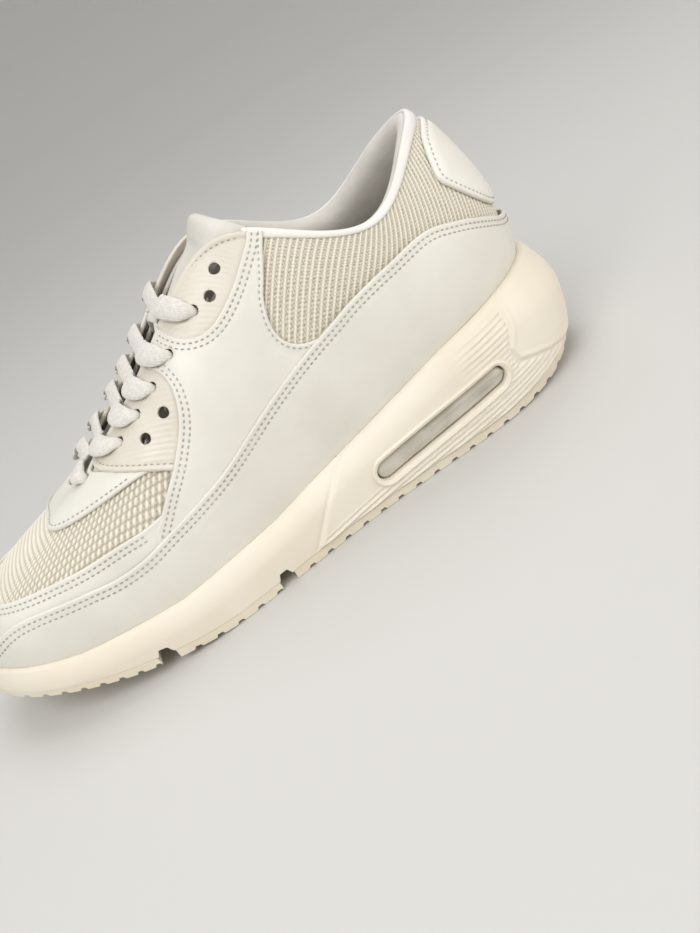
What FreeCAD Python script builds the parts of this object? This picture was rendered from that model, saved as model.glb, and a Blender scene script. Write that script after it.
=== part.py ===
import FreeCAD, Part
import math
import os

# Low running shoe, left foot.  Millimetres.  Toe towards -X, heel towards +X,
# outer (lateral) side towards -Y, up +Z.  Origin on the ground under the middle of the shoe.

doc = FreeCAD.newDocument("running_shoe")
sheet = doc.addObject("Spreadsheet::Sheet", "sizes")
V = FreeCAD.Vector

# ---------------------------------------------------------------- sizes
# The pattern of the last: nine stations from toe centre (0) to heel centre (8).
# Each row holds x, half width and height of one edge line on the outer side.
PATTERN = {
    "feather": [(-141, 0, 27), (-131, 26, 25), (-103, 42, 19), (-58, 46, 16), (-11, 40, 20),
                (37, 35, 29), (82, 35, 40), (120, 25, 45), (141, 0, 47)],
    "lower": [(-150, 0, 48), (-141, 33, 49), (-107, 52, 47), (-60, 56, 50), (-11, 53, 58),
              (38, 48, 62), (86, 46, 62), (127, 36, 66), (148, 0, 68)],
    "upper": [(-112, 0, 57), (-104, 27, 64), (-83, 38, 69), (-46, 40, 80), (-2, 40, 97),
              (40, 42, 98), (84, 41, 88), (120, 29, 95), (141, 0, 98)],
    "topline": [(-72, 0, 70), (-68, 8, 71), (-52, 14, 79), (-20, 17.5, 98), (18, 22, 124),
                (46, 30, 119.5), (80, 35.5, 102.5), (110, 21, 116), (126, 0, 125)],
}
# Extra width of the inner (medial) side at each station: toe swings in, waist is hollow.
MEDIAL_EXTRA = [5, 4, 3, 0, -4, -4, -1, 0, 0]
# Towards the toe the inner side of the instep is rounder: its upper line lies further in and lower.
INSTEP_PULL = [0, 8, 11, 4, 0, 0, 0, 0, 0]
INSTEP_DROP = [0, 10, 15, 5, 0, 0, 0, 0, 0]
EDGE_SHARE = {"feather": 1.0, "lower": 1.0, "upper": 0.7, "topline": 0.3}

PLAIN_SIZES = [
    ("overall_length", 303, "toe of the sole to the back of the sole"),
    ("pattern_length", 303, "length the pattern rows are drawn for"),
    ("width_factor", 1, "pattern widths are multiplied by this"),
    ("height_factor", 1, "pattern heights are multiplied by this"),
    ("mesh_thick", 1.25, "outer textile"),
    ("lining_thick", 1.5, "inner textile"),
    ("panel_thick", 1.25, "one layer of synthetic leather"),
    ("layer_gap", 0.25, "clearance between stacked layers"),
    ("collar_thick", 6.5, "foam collar padding"),
    ("cup_clear", 0.6, "clearance between the upper and the sole cup"),
    ("wall_thick", 2.7, "sole wall at its upper edge"),
    ("heel_flare", 5, "bulge of the sole behind the heel"),
    ("sole_flare", 1.2, "bulge of the sole along the sides"),
    ("outsole_thick", 4, "rubber under the foam"),
    ("outsole_clear", 0.25, "clearance between rubber and foam"),
    ("groove_depth", 6.5, "height of the two flex notches"),
    ("groove_width", 7, "length of the two flex notches"),
    ("lug_depth", 1.2, "height of the small tread teeth"),
    ("board_thick", 2, "lasting board"),
    ("insole_thick", 4, "removable sock liner"),
    ("bed_clear", 0.3, "clearance between board, sock liner and foam"),
    ("window_length", 68, "visible air window"),
    ("window_height", 9, "visible air window"),
    ("window_x", 67, "middle of the window"),
    ("window_z", 19, "middle of the window"),
    ("window_tilt", 6, "slope of the window in degrees"),
    ("rim_width", 2.2, "raised moulding round the window"),
    ("rim_clear", 0.3, "clearance between rim and foam"),
    ("air_clear", 0.3, "clearance between air bag and rim"),
    ("tab_thick", 2.2, "moulded heel patch"),
    ("eyelet_dia", 4.6, "lace hole"),
    ("lace_width", 5.8, "flat lace"),
    ("lace_lift", 0.5, "room under a lace where it crosses the curve of an eyestay"),
    ("lace_thick", 1.4, "flat lace"),
    ("tongue_thick", 7, "padded tongue"),
    ("tongue_top_x", 27.6, "middle of the top edge of the tongue"),
    ("tongue_top_z", 136.8, "middle of the top edge of the tongue"),
    ("tongue_taper", 0.22, "how much narrower the inner face of the tongue is at the top"),
    ("hinge_x", -74, "sewn base of the tongue"),
    ("hinge_z", 58, "sewn base of the tongue"),
]
row = 1
for alias, value, note in PLAIN_SIZES:
    sheet.set("A%d" % row, alias)
    sheet.set("B%d" % row, str(value))
    sheet.set("C%d" % row, note)
    sheet.setAlias("B%d" % row, alias)
    row += 1
for edge, stations in PATTERN.items():
    for k, station in enumerate(stations):
        for word, value in zip(("x", "wide", "high"), station):
            alias = "%s_%s_%s" % (edge, word, "abcdefghi"[k])
            sheet.set("A%d" % row, alias)
            sheet.set("B%d" % row, str(value))
            sheet.setAlias("B%d" % row, alias)
            row += 1
for name, values in (("medial_extra", MEDIAL_EXTRA), ("instep_pull", INSTEP_PULL), ("instep_drop", INSTEP_DROP)):
    for k, value in enumerate(values):
        alias = "%s_%s" % (name, "abcdefghi"[k])
        sheet.set("A%d" % row, alias)
        sheet.set("B%d" % row, str(value))
        sheet.setAlias("B%d" % row, alias)
        row += 1
doc.recompute()


def size(alias):
    return float(sheet.get(alias))


KX = size("overall_length") / size("pattern_length")
KY = size("width_factor")
KZ = size("height_factor")
GAP = size("layer_gap")

# Depths measured outwards from the outer face of the mesh.
MESH_OUT = 0.0
MESH_IN = -size("mesh_thick")
LINING_OUT = MESH_IN - GAP
LINING_IN = LINING_OUT - size("lining_thick")
PAD_OUT = LINING_IN - GAP
PAD_IN = PAD_OUT - size("collar_thick")
PANEL_IN = GAP
PANEL_OUT = PANEL_IN + size("panel_thick")
GUARD_IN = PANEL_OUT + GAP
GUARD_OUT = GUARD_IN + size("panel_thick")
CUP = GUARD_OUT + size("cup_clear")
WALL = CUP + size("wall_thick")


# ---------------------------------------------------------------- the shape of the upper
def closed_stations(edge):
    """Sixteen points round the shoe: toe, lateral side, heel, medial side."""
    lateral = []
    medial = []
    for letter in "abcdefghi":
        x = size("%s_x_%s" % (edge, letter)) * KX
        wide = size("%s_wide_%s" % (edge, letter)) * KY
        high = size("%s_high_%s" % (edge, letter)) * KZ
        extra = size("medial_extra_%s" % letter) * EDGE_SHARE[edge] * KY
        centre = extra if letter == "a" else 0.0
        pull = size("instep_pull_%s" % letter) * KY if edge == "upper" else 0.0
        drop = size("instep_drop_%s" % letter) * KZ if edge == "upper" else 0.0
        lateral.append(V(x, centre - wide, high))
        medial.append(V(x, wide + extra - pull, high - drop))
    return lateral + medial[7:0:-1]


def periodic(points):
    curve = Part.BSplineCurve()
    knots = [float(i) for i in range(len(points) + 1)]
    curve.interpolate(Points=points, PeriodicFlag=True, Parameters=knots)
    return curve


EDGES = [periodic(closed_stations(name)) for name in ("feather", "lower", "upper", "topline")]


def on_form(t, v):
    """Point of the form: t runs round the shoe (0 toe, 8 heel, 16 toe), v runs up."""
    t = t % 16.0
    a, b, c, d = [edge.value(t) for edge in EDGES]
    w = 1.0 - v
    return a * (w ** 3) + b * (3 * v * w * w) + c * (3 * v * v * w) + d * (v ** 3)


def skin_point(t, v, depth):
    """Point lying depth outside the form, measured square to it."""
    step = 0.002
    v_low = max(v - step, 0.0)
    v_high = min(v + step, 1.0)
    along = on_form(t + step, v) - on_form(t - step, v)
    up = on_form(t, v_high) - on_form(t, v_low)
    normal = along.cross(up)
    normal.normalize()
    return on_form(t, v) + normal * depth


def spread(first, last, count):
    return [first + (last - first) * i / (count - 1.0) for i in range(count)]


def skin(rows):
    surface = Part.BSplineSurface()
    surface.interpolate(rows)
    return surface.toShape()


def solid_between(rows_a, rows_b):
    """Closed solid between two grids of points of the same size."""
    face_a = skin(rows_a)
    face_b = skin(rows_b)
    faces = [face_a, face_b]
    for edge_a, edge_b in zip(face_a.Edges, face_b.Edges):
        faces.append(Part.makeRuledSurface(edge_a, edge_b))
    shell = Part.makeShell(faces)
    shell.sewShape()
    solid = Part.Solid(shell)
    if solid.Volume < 0:
        solid.reverse()
    return solid


def slab(t0, t1, v0, v1, depth_in, depth_out, per_station=3, v_count=13):
    """A sheet of material lying on the form between two depths."""
    t_count = max(5, int(abs(t1 - t0) * per_station) + 1)
    ts = spread(t0, t1, t_count)
    vs = spread(v0, v1, v_count)
    outer = [[skin_point(t, v, depth_out) for v in vs] for t in ts]
    inner = [[skin_point(t, v, depth_in) for v in vs] for t in ts]
    return solid_between(outer, inner)


def side_prism(outline, y0, y1):
    """Outline in the side view (x, z) pushed along Y."""
    points = [V(x * KX, y0, z * KZ) for x, z in outline]
    wire = Part.makePolygon(points + [points[0]])
    return Part.Face(wire).extrude(V(0, y1 - y0, 0))


def grown_side_prism(outline, grow, y0, y1):
    points = [V(x * KX, y0, z * KZ) for x, z in outline]
    wire = Part.makePolygon(points + [points[0]])
    face = Part.Face(wire).makeOffset2D(grow)
    return face.extrude(V(0, y1 - y0, 0))


def largest(shape):
    solids = sorted(shape.Solids, key=lambda s: s.Volume)
    return solids[-1]


def mirrored_t(t0, t1):
    """The same stretch on the medial side."""
    return 16.0 - t1, 16.0 - t0


parts = []


def keep(name, shape):
    """Adds a sub-part, moved so that the middle of the sole is the origin."""
    obj = doc.addObject("Part::Feature", name)
    obj.Shape = shape
    obj.Placement = FreeCAD.Placement(TO_ORIGIN, FreeCAD.Rotation())
    obj.Label = name
    parts.append(obj)
    return obj


SIDES = {"lateral": (-95.0 * KY, -4.0), "medial": (4.0, 95.0 * KY)}


def side_range(side, t0, t1):
    return (t0, t1) if side == "lateral" else mirrored_t(t0, t1)


# ---------------------------------------------------------------- outlines seen from the side
GUARD_TOP = [(-133, 34), (-126, 42), (-115, 47), (-104, 48), (-87, 46), (-74, 44.5), (-62, 45),
             (-48, 48), (-34, 51), (-16, 56), (7, 65), (29, 74), (46, 79), (59, 85), (75, 89.5),
             (87, 91), (99, 89.5), (111, 85), (124, 78), (136, 72), (160, 66)]
GUARD = [(-138, -5), (-137, 25)] + GUARD_TOP + [(160, -5)]
RAND = [(-165, 54.5), (-119, 54), (-96, 54.5), (-81, 54), (-67, 54), (-55, 54.5), (-50, 54.5),
        (-52, 38), (-55, 0), (-165, 0)]
LOWER_RIB = [(-21, 100), (-19, 95), (-18, 90), (-20, 84), (-24, 79), (-29, 74), (-34.5, 67.5),
             (-46, 72.5), (-56, 76.5), (-59, 78), (-66, 92), (-30, 112), (-22, 104)]
UPPER_RIB = [(-8, 108.5), (-5, 105.5), (-2, 102.7), (3, 100.8), (11, 101.8), (17, 105.7),
             (25, 110.8), (30, 114.8), (36, 119), (36, 134), (10, 134), (-14, 114)]
SIDE_PANEL = [(-49, 38), (-48, 54), (-41, 59), (-33, 66), (-27, 73), (-22, 78), (-18, 83),
              (-16, 90), (-17, 95), (-19, 98), (-24, 104), (-14, 118), (20, 136), (37, 134),
              (42, 124), (42, 118), (36, 107), (30, 100), (27, 89), (31, 80), (40, 75.5),
              (48, 77), (60, 81), (76, 85), (84, 86), (86, 76), (53, 66), (22, 54), (-6, 46),
              (-35, 39)]
THROAT = [(-94, 80), (-89, 66), (-84, 66.5), (-78, 64.5), (-73, 64.5), (-65, 66), (-52, 69),
          (-40, 70.2), (-36, 80), (-50, 100), (-80, 90)]

# ---------------------------------------------------------------- sole
def plan_wire(points, z):
    flat = [V(p.x, p.y, z) for p in points]
    curve = Part.BSplineCurve()
    knots = [float(i) for i in range(len(flat) + 1)]
    curve.interpolate(Points=flat, PeriodicFlag=True, Parameters=knots)
    return Part.Wire([curve.toShape()])


def heel_share(t):
    away = min(abs(t % 16.0 - 8.0), 2.5) / 2.5
    return 1.0 - away * away * (3 - 2 * away)


FOOT_V = 0.13
ROUND_T = [i * 0.5 for i in range(32)]


def sole_ring(depth, flare):
    ring = []
    for t in ROUND_T:
        extra = size("heel_flare") * heel_share(t) if flare else 0.0
        side = size("sole_flare") if flare else 0.0
        ring.append(skin_point(t, FOOT_V, depth + side + extra))
    return ring


LOW_RING = sole_ring(WALL - 0.8, False)
MID_RING = sole_ring(WALL, True)
TOP_RING = sole_ring(WALL, False)


def sole_body():
    wires = [plan_wire(LOW_RING, -6 * KZ), plan_wire(MID_RING, 22 * KZ), plan_wire(TOP_RING, 64 * KZ)]
    return Part.makeLoft(wires, True, False)


GROUND = [(-160, 27.5), (-148, 24.5), (-136, 20.8), (-120, 16.5), (-106, 12.3), (-90, 7.6), (-72, 3.6),
          (-58, 1.3), (-45, 0), (84, 0), (104, 0.4), (125, 2), (138, 5), (148, 9), (162, 15)]
WALL_TOP = [(-160, 35), (-148, 34), (-131, 32), (-103, 26), (-58, 22), (-11, 25), (37, 34),
            (82, 45), (120, 50), (147, 52), (165, 53)]
FLOOR = [(-160, 28), (-141, 27), (-131, 25), (-103, 19), (-58, 16), (-11, 20), (37, 29),
         (82, 40), (120, 45), (141, 47), (165, 48)]
NOTCHES = (-76, -21)


def height_on(line, x):
    for (x0, z0), (x1, z1) in zip(line, line[1:]):
        if x0 <= x <= x1:
            return z0 + (z1 - z0) * (x - x0) / (x1 - x0)
    return line[-1][1]


def dense(line, step=6.0):
    first = line[0][0]
    last = line[-1][0]
    count = int((last - first) / step) + 1
    points = [(x, z) for x, z in line]
    for x in spread(first, last, count):
        points.append((x, height_on(line, x)))
    return sorted(set(points))


def lifted(line, rise):
    return [(x, z + rise / KZ) for x, z in line]


def between_lines(low, high, y0=-95.0, y1=95.0):
    return side_prism(low + high[::-1], y0 * KY, y1 * KY)


def notch(x, height, grow):
    half = size("groove_width") / 2.0 + grow
    ground = height_on(GROUND, x)
    top = ground + height + grow
    outline = [(x - half, ground - 12), (x - half * 0.45, top), (x + half * 0.45, top), (x + half, ground - 12)]
    return side_prism(outline, -95.0 * KY, 95.0 * KY)


clear = size("outsole_clear")


def rubber_at(x):
    """The rubber thins out towards the raised toe."""
    share = min(max((x + 150.0) / 70.0, 0.0), 1.0)
    return size("outsole_thick") * (0.55 + 0.45 * share)


cup_points = [skin_point(t, FOOT_V, CUP) for t in ROUND_T]
cup_tube = Part.Face(plan_wire(cup_points, 2.0)).extrude(V(0, 0, 110 * KZ))
floor_low = lifted(FLOOR, -1.7)
cup_tool = cup_tube.common(between_lines(floor_low, [(-160, 150), (165, 150)]))


def slot_outline(grow):
    """Closed slot of the air window in the side view, round ended."""
    half = size("window_length") / 2.0 - size("window_height") / 2.0
    radius = size("window_height") / 2.0 + grow
    cx = size("window_x") * KX
    cz = size("window_z") * KZ
    tilt = math.radians(size("window_tilt"))
    points = []
    for centre, start in ((half, -90), (-half, 90)):
        for i in range(13):
            a = math.radians(start + 15 * i)
            px = centre + radius * math.cos(a)
            pz = radius * math.sin(a)
            points.append((cx + px * math.cos(tilt) - pz * math.sin(tilt),
                           cz + px * math.sin(tilt) + pz * math.cos(tilt)))
    return points


def slot_prism(grow, y0, y1):
    points = [V(x, y0, z) for x, z in slot_outline(grow)]
    wire = Part.makePolygon(points + [points[0]])
    return Part.Face(wire).extrude(V(0, y1 - y0, 0))


# the middle of the sole, measured on its surface, becomes the origin
whole = sole_body().common(between_lines(dense(GROUND), WALL_TOP))
surface_points = whole.tessellate(0.05)[0]
xs = [p.x for p in surface_points]
ys = [p.y for p in surface_points]
TO_ORIGIN = V(-(min(xs) + max(xs)) / 2.0, -(min(ys) + max(ys)) / 2.0, 0)

RIM = size("rim_width")
foam_low = [(x, z + rubber_at(x) + clear) for x, z in dense(GROUND)]
foam_band = between_lines(foam_low, WALL_TOP)
midsole = sole_body().common(foam_band)
midsole = midsole.cut(cup_tool)
midsole = midsole.cut(slot_prism(RIM + size("rim_clear"), -95 * KY, 95 * KY))
for x in NOTCHES:
    midsole = midsole.cut(notch(x, size("groove_depth"), 0))
midsole = largest(midsole)
keep("midsole", midsole)

# ---- outsole: three rubber pads with small tread teeth along the ground
def tooth_line(line, x0, x1, pitch):
    points = []
    count = max(2, int((x1 - x0) / pitch))
    width = (x1 - x0) / count
    depth = size("lug_depth")
    for i in range(count):
        a = x0 + i * width
        points.append((a, height_on(line, a)))
        points.append((a + width * 0.62, height_on(line, a + width * 0.62)))
        points.append((a + width * 0.70, height_on(line, a + width * 0.70) + depth))
        points.append((a + width * 0.92, height_on(line, a + width * 0.92) + depth))
    points.append((x1, height_on(line, x1)))
    return points


half_notch = size("groove_width") / 2.0 + 0.2
spans = [("outsole_toe", -158, NOTCHES[0] - half_notch, 7.0),
         ("outsole_ball", NOTCHES[0] + half_notch, NOTCHES[1] - half_notch, 8.0),
         ("outsole_heel", NOTCHES[1] + half_notch, 160, 9.0)]
for name, x0, x1, pitch in spans:
    low = tooth_line(GROUND, x0, x1, pitch)
    inner = [x0] + [x for x, z in dense(GROUND) if x0 < x < x1] + [x1]
    high = [(x, height_on(GROUND, x) + rubber_at(x)) for x in inner]
    pad = sole_body().common(side_prism(low + high[::-1], -95 * KY, 95 * KY))
    pad = pad.cut(cup_tool)
    keep(name, largest(pad))

# ---- air bag and the two moulded rims of its window
bag = slot_prism(-size("air_clear"), -36 * KY, 33 * KY)
keep("air_unit", bag)
for side, (y0, y1) in SIDES.items():
    ring = slot_prism(RIM, y0, y1).cut(slot_prism(0, y0, y1))
    hull = Part.makeLoft([plan_wire(sole_ring(WALL + 0.1, False), -6 * KZ),
                          plan_wire(sole_ring(WALL + 0.9, True), 22 * KZ),
                          plan_wire(sole_ring(WALL + 0.1, False), 64 * KZ)], True, False)
    core = Part.makeLoft([plan_wire(sole_ring(WALL - 7, False), -6 * KZ),
                          plan_wire(sole_ring(WALL - 6, True), 22 * KZ),
                          plan_wire(sole_ring(WALL - 7, False), 64 * KZ)], True, False)
    ring = ring.common(hull).cut(core)
    keep("window_rim_" + side, largest(ring))

# ---- lasting board and sock liner lie on the foam bed inside the upper
bed = size("bed_clear")
board_low = lifted(FLOOR, -1.7 + bed)
board_high = lifted(board_low, size("board_thick"))
liner_low = lifted(board_high, bed)
liner_high = lifted(liner_low, size("insole_thick"))
board_ring = [skin_point(t, 0.0, LINING_IN - bed) for t in ROUND_T]
board_tube = Part.Face(plan_wire(board_ring, 1.0)).extrude(V(0, 0, 90 * KZ))
keep("lasting_board", largest(board_tube.common(between_lines(board_low, board_high))))
liner_ring = [skin_point(t, 0.0, LINING_IN - 3 * bed) for t in ROUND_T]
liner_tube = Part.Face(plan_wire(liner_ring, 1.0)).extrude(V(0, 0, 90 * KZ))
keep("insole", largest(liner_tube.common(between_lines(liner_low, liner_high))))

# ---------------------------------------------------------------- lace holes
# station and height of each hole on the form; the last two pairs stay empty
EYELETS = [(2.05, 0.86), (2.77, 0.80), (3.05, 0.80), (3.30, 0.80), (3.57, 0.81),
           (3.95, 0.83), (4.18, 0.82), (4.30, 0.89)]
LACED = 6
SPARE = [(3.17, 0.67), (3.42, 0.67)]


def eyelet_tool(t, v):
    start = skin_point(t, v, LINING_IN - 2.5)
    end = skin_point(t, v, GUARD_OUT + 2)
    return Part.makeCylinder(size("eyelet_dia") / 2.0, (end - start).Length, start, end - start)


def punched(shape, holes, side):
    for t, v in holes:
        place = t if side == "lateral" else 16.0 - t
        shape = shape.cut(eyelet_tool(place, v))
    return shape


# ---------------------------------------------------------------- textile of the upper
LEAVE = 0.955
vamp = slab(-3.62, 3.62, 0.0, LEAVE, MESH_IN, MESH_OUT)
vamp_lining = slab(-3.62, 3.62, 0.0, LEAVE, LINING_IN, LINING_OUT)
quarter = slab(3.66, 12.34, 0.0, LEAVE, MESH_IN, MESH_OUT)
quarter_lining = slab(3.66, 12.34, 0.0, LEAVE, LINING_IN, LINING_OUT)
front_holes = [e for e in EYELETS if e[0] < 3.64] + SPARE
back_holes = [e for e in EYELETS if e[0] > 3.64]
for side in ("lateral", "medial"):
    vamp = punched(vamp, front_holes, side)
    vamp_lining = punched(vamp_lining, front_holes, side)
    quarter = punched(quarter, back_holes, side)
    quarter_lining = punched(quarter_lining, back_holes, side)
keep("vamp_mesh", largest(vamp))
keep("vamp_lining", largest(vamp_lining))
keep("quarter_mesh", largest(quarter))
keep("quarter_lining", largest(quarter_lining))
keep("collar_padding", slab(5.05, 10.95, 0.64, 0.985, PAD_IN, PAD_OUT))
keep("collar_binding", slab(4.80, 11.20, 0.963, 1.0, LINING_IN, MESH_OUT, v_count=5))

# ---------------------------------------------------------------- leather overlays
front_skin = slab(-3.45, 3.45, 0.0, 0.985, PANEL_IN, PANEL_OUT)
rand = front_skin.common(side_prism(RAND, -95 * KY, 95 * KY))
keep("toe_rand", largest(rand))
throat = front_skin.common(side_prism(THROAT, -95 * KY, 95 * KY))
throat = throat.cut(grown_side_prism(LOWER_RIB, 0.5, -95 * KY, 95 * KY))
for side in ("lateral", "medial"):
    throat = punched(throat, EYELETS[:1], side)
keep("throat_overlay", largest(throat))

for side, (y0, y1) in SIDES.items():
    t0, t1 = side_range(side, 1.7, 7.9)
    panel_skin = slab(t0, t1, 0.06, 0.985, PANEL_IN, PANEL_OUT)
    lower_rib = panel_skin.common(side_prism(LOWER_RIB, y0, y1))
    lower_rib = punched(lower_rib, EYELETS[1:4] + SPARE, side)
    keep("eyestay_lower_" + side, largest(lower_rib))
    upper_rib = panel_skin.common(side_prism(UPPER_RIB, y0, y1))
    upper_rib = punched(upper_rib, EYELETS[5:], side)
    keep("eyestay_upper_" + side, largest(upper_rib))
    panel = panel_skin.common(side_prism(SIDE_PANEL, y0, y1))
    panel = panel.cut(grown_side_prism(LOWER_RIB, 0.5, y0, y1))
    panel = panel.cut(grown_side_prism(UPPER_RIB, 0.5, y0, y1))
    panel = punched(panel, EYELETS[4:5], side)
    keep("side_panel_" + side, largest(panel))
    t0, t1 = side_range(side, 0.85, 7.985)
    guard_skin = slab(t0, t1, 0.0, 0.84, GUARD_IN, GUARD_OUT)
    edge = (-95 * KY, 95 * KY)
    guard = guard_skin.common(side_prism(GUARD, edge[0], edge[1]))
    keep("mudguard_" + side, largest(guard))

TAB = [(0, 119.5), (4, 119), (13, 117), (21, 109.5), (27, 101), (27, 95), (24, 86), (20, 79),
       (12, 74.5), (0, 73)]
tab_points = TAB + [(-y, z) for y, z in TAB[-2:0:-1]]
tab_wire = Part.makePolygon([V(85 * KX, y * KY, z * KZ) for y, z in tab_points + tab_points[:1]])
tab_prism = Part.Face(tab_wire).extrude(V(90 * KX, 0, 0))
tab_skin = slab(6.4, 9.6, 0.28, 0.95, PANEL_IN, PANEL_IN + size("tab_thick"))
keep("heel_tab", largest(tab_skin.common(tab_prism)))

# ---------------------------------------------------------------- tongue
LACE_IN = LINING_IN - GAP - size("lace_thick")
TONGUE_OUT = LACE_IN - GAP * 5


def throat_row(t, depth, crown, reach, beyond):
    """Cross line of the tongue: under one eyestay, over the throat, under the other."""
    points = []
    for share in (0.0, 0.5, 1.0):
        v = reach + (1.0 - reach) * share
        points.append(skin_point(t, v, depth) + beyond)
    other = []
    for share in (1.0, 0.5, 0.0):
        v = reach + (1.0 - reach) * share
        other.append(skin_point(16.0 - t, v, depth) + beyond)
    middle = (points[-1] + other[0]) * 0.5 + V(0, 0, crown)
    return points + [middle] + other


TONGUE_ROWS = ((1.35, 0.93, -1.0), (1.8, 0.90, 1.0), (2.3, 0.87, 2.5), (2.8, 0.84, 3.5),
               (3.3, 0.82, 4.0), (3.7, 0.83, 4.5), (4.0, 0.86, 5.5))
# the top edge bends back round the ankle: half widths and how far each point lies behind the middle
TOP_EDGE = ((-20, 14.5), (-18, 11.5), (-13, 6.0), (0, 0.0), (13, 6.0), (17.5, 11.0), (19.5, 14.0))


def tongue_grid(sink):
    rows = []
    for t, reach, lift in TONGUE_ROWS:
        rows.append(throat_row(t, TONGUE_OUT - sink, lift, reach, V(0, 0, 0)))
    last = rows[-1]
    narrow = 1.0 - size("tongue_taper") * sink / size("tongue_thick")
    top = []
    for y, back in TOP_EDGE:
        x = size("tongue_top_x") * KX + 0.71 * (back + sink)
        z = size("tongue_top_z") * KZ - 0.70 * (back + sink)
        top.append(V(x, y * narrow * KY, z))
    for share in (0.35, 0.7, 1.0):
        rows.append([p + (q - p) * share for p, q in zip(last, top)])
    return rows


tongue = solid_between(tongue_grid(0.0), tongue_grid(size("tongue_thick")))
keep("tongue", tongue)

# ---------------------------------------------------------------- laces
def lace_row(t, v):
    """Flat lace from one hole over the throat to the hole facing it."""
    top = PANEL_OUT + GAP + size("lace_lift")
    half = size("lace_width") / 2.0
    thick = size("lace_thick")
    stops = ((v - 0.035, top), (v, top), (0.5 * (v + 0.985), top + 0.1), (0.985, top + 0.3))
    path = [skin_point(t, at, depth) for at, depth in stops]
    facing = [skin_point(16.0 - t, at, depth) for at, depth in stops]
    path.append((path[-1] + facing[-1]) * 0.5 + V(0, 0, 1.5))
    path.extend(facing[::-1])
    low_rows = []
    high_rows = []
    lengthwise = on_form(t + 0.05, 0.98) - on_form(t - 0.05, 0.98)
    lengthwise = V(lengthwise.x, 0, lengthwise.z)
    lengthwise.normalize()
    for k, point in enumerate(path):
        before = path[max(k - 1, 0)]
        after = path[min(k + 1, len(path) - 1)]
        along = after - before
        along.normalize()
        across = lengthwise - along * lengthwise.dot(along)
        across.normalize()
        up = along.cross(across)
        if up.z < 0:
            up = up * -1.0
        low_rows.append([point + across * (half * s) for s in (-1, -0.33, 0.33, 1)])
        high_rows.append([point + across * (half * s) + up * thick for s in (-1, -0.33, 0.33, 1)])
    return solid_between(low_rows, high_rows)


for k in range(LACED):
    keep("lace_row_%d" % (k + 1), lace_row(*EYELETS[k]))

# ---------------------------------------------------------------- check and write
doc.recompute()
os.makedirs("parts", exist_ok=True)
for obj in doc.Objects:
    if "Invalid" in obj.State or "Error" in obj.State:
        raise RuntimeError("object failed: " + obj.Name)
for obj in parts:
    if obj.Shape.isNull() or not obj.Shape.isValid():
        raise RuntimeError("bad shape: " + obj.Label)
    obj.Shape.exportStep("parts/" + obj.Label + ".step")
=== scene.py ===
import math

import bpy
import numpy as np
from mathutils import Matrix, Vector
from mathutils.geometry import delaunay_2d_cdt


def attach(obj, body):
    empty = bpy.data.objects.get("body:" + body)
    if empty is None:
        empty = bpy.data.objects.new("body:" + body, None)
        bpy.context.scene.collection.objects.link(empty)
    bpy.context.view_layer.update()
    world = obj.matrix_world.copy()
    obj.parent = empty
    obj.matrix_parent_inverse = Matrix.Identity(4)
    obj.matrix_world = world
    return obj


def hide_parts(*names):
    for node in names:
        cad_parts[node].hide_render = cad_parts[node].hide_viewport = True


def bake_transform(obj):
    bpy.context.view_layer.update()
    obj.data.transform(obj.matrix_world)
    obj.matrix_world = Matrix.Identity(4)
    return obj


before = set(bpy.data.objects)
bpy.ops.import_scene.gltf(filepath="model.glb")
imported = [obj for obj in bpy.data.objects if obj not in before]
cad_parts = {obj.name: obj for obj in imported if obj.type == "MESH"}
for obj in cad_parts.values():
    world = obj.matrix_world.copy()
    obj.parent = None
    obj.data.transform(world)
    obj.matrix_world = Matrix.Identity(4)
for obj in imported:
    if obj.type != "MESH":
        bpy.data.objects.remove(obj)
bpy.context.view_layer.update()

# A low running shoe, left foot.  Lengths are in millimetres until add_mesh turns them into metres.
# t runs round the shoe: 0 toe, 4 outer side, 8 heel, 12 inner side.  v runs up: 0 sole, 1 topline.
MM = 0.001
TURN = 16
HEEL = 8
BODY = "shoe"

# ---------------------------------------------------------------- the form of the upper
PATTERN = {
    "feather": [(-141, 0, 27), (-131, 26, 25), (-103, 42, 19), (-58, 46, 16), (-11, 40, 20),
                (37, 35, 29), (82, 35, 40), (120, 25, 45), (141, 0, 47)],
    "lower": [(-150, 0, 48), (-141, 33, 49), (-107, 52, 47), (-60, 56, 50), (-11, 53, 58),
              (38, 48, 62), (86, 46, 62), (127, 36, 66), (148, 0, 68)],
    "upper": [(-112, 0, 57), (-104, 27, 64), (-83, 38, 69), (-46, 40, 80), (-2, 40, 97),
              (40, 42, 98), (84, 41, 88), (120, 29, 95), (141, 0, 98)],
    "topline": [(-72, 0, 70), (-68, 8, 71), (-52, 14, 79), (-20, 17.5, 98), (18, 22, 124),
                (46, 30, 119.5), (80, 35.5, 102.5), (110, 21, 116), (126, 0, 125)],
}
MEDIAL_EXTRA = [5, 4, 3, 0, -4, -4, -1, 0, 0]
# towards the toe the inner side of the instep is rounder: its upper line lies further in and lower
INSTEP_PULL = [0, 8, 11, 4, 0, 0, 0, 0, 0]
INSTEP_DROP = [0, 10, 15, 5, 0, 0, 0, 0, 0]
EDGE_SHARE = {"feather": 1.0, "lower": 1.0, "upper": 0.7, "topline": 0.3}

LINING_OUT = -1.5
LINING_IN = -3.0
PANEL_IN = 0.25
PANEL_OUT = 1.5
GUARD_IN = 1.75
GUARD_OUT = 3.0
WALL = 6.3
FOOT_V = 0.13
HEEL_FLARE = 5.0
SIDE_FLARE = 1.2


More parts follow.
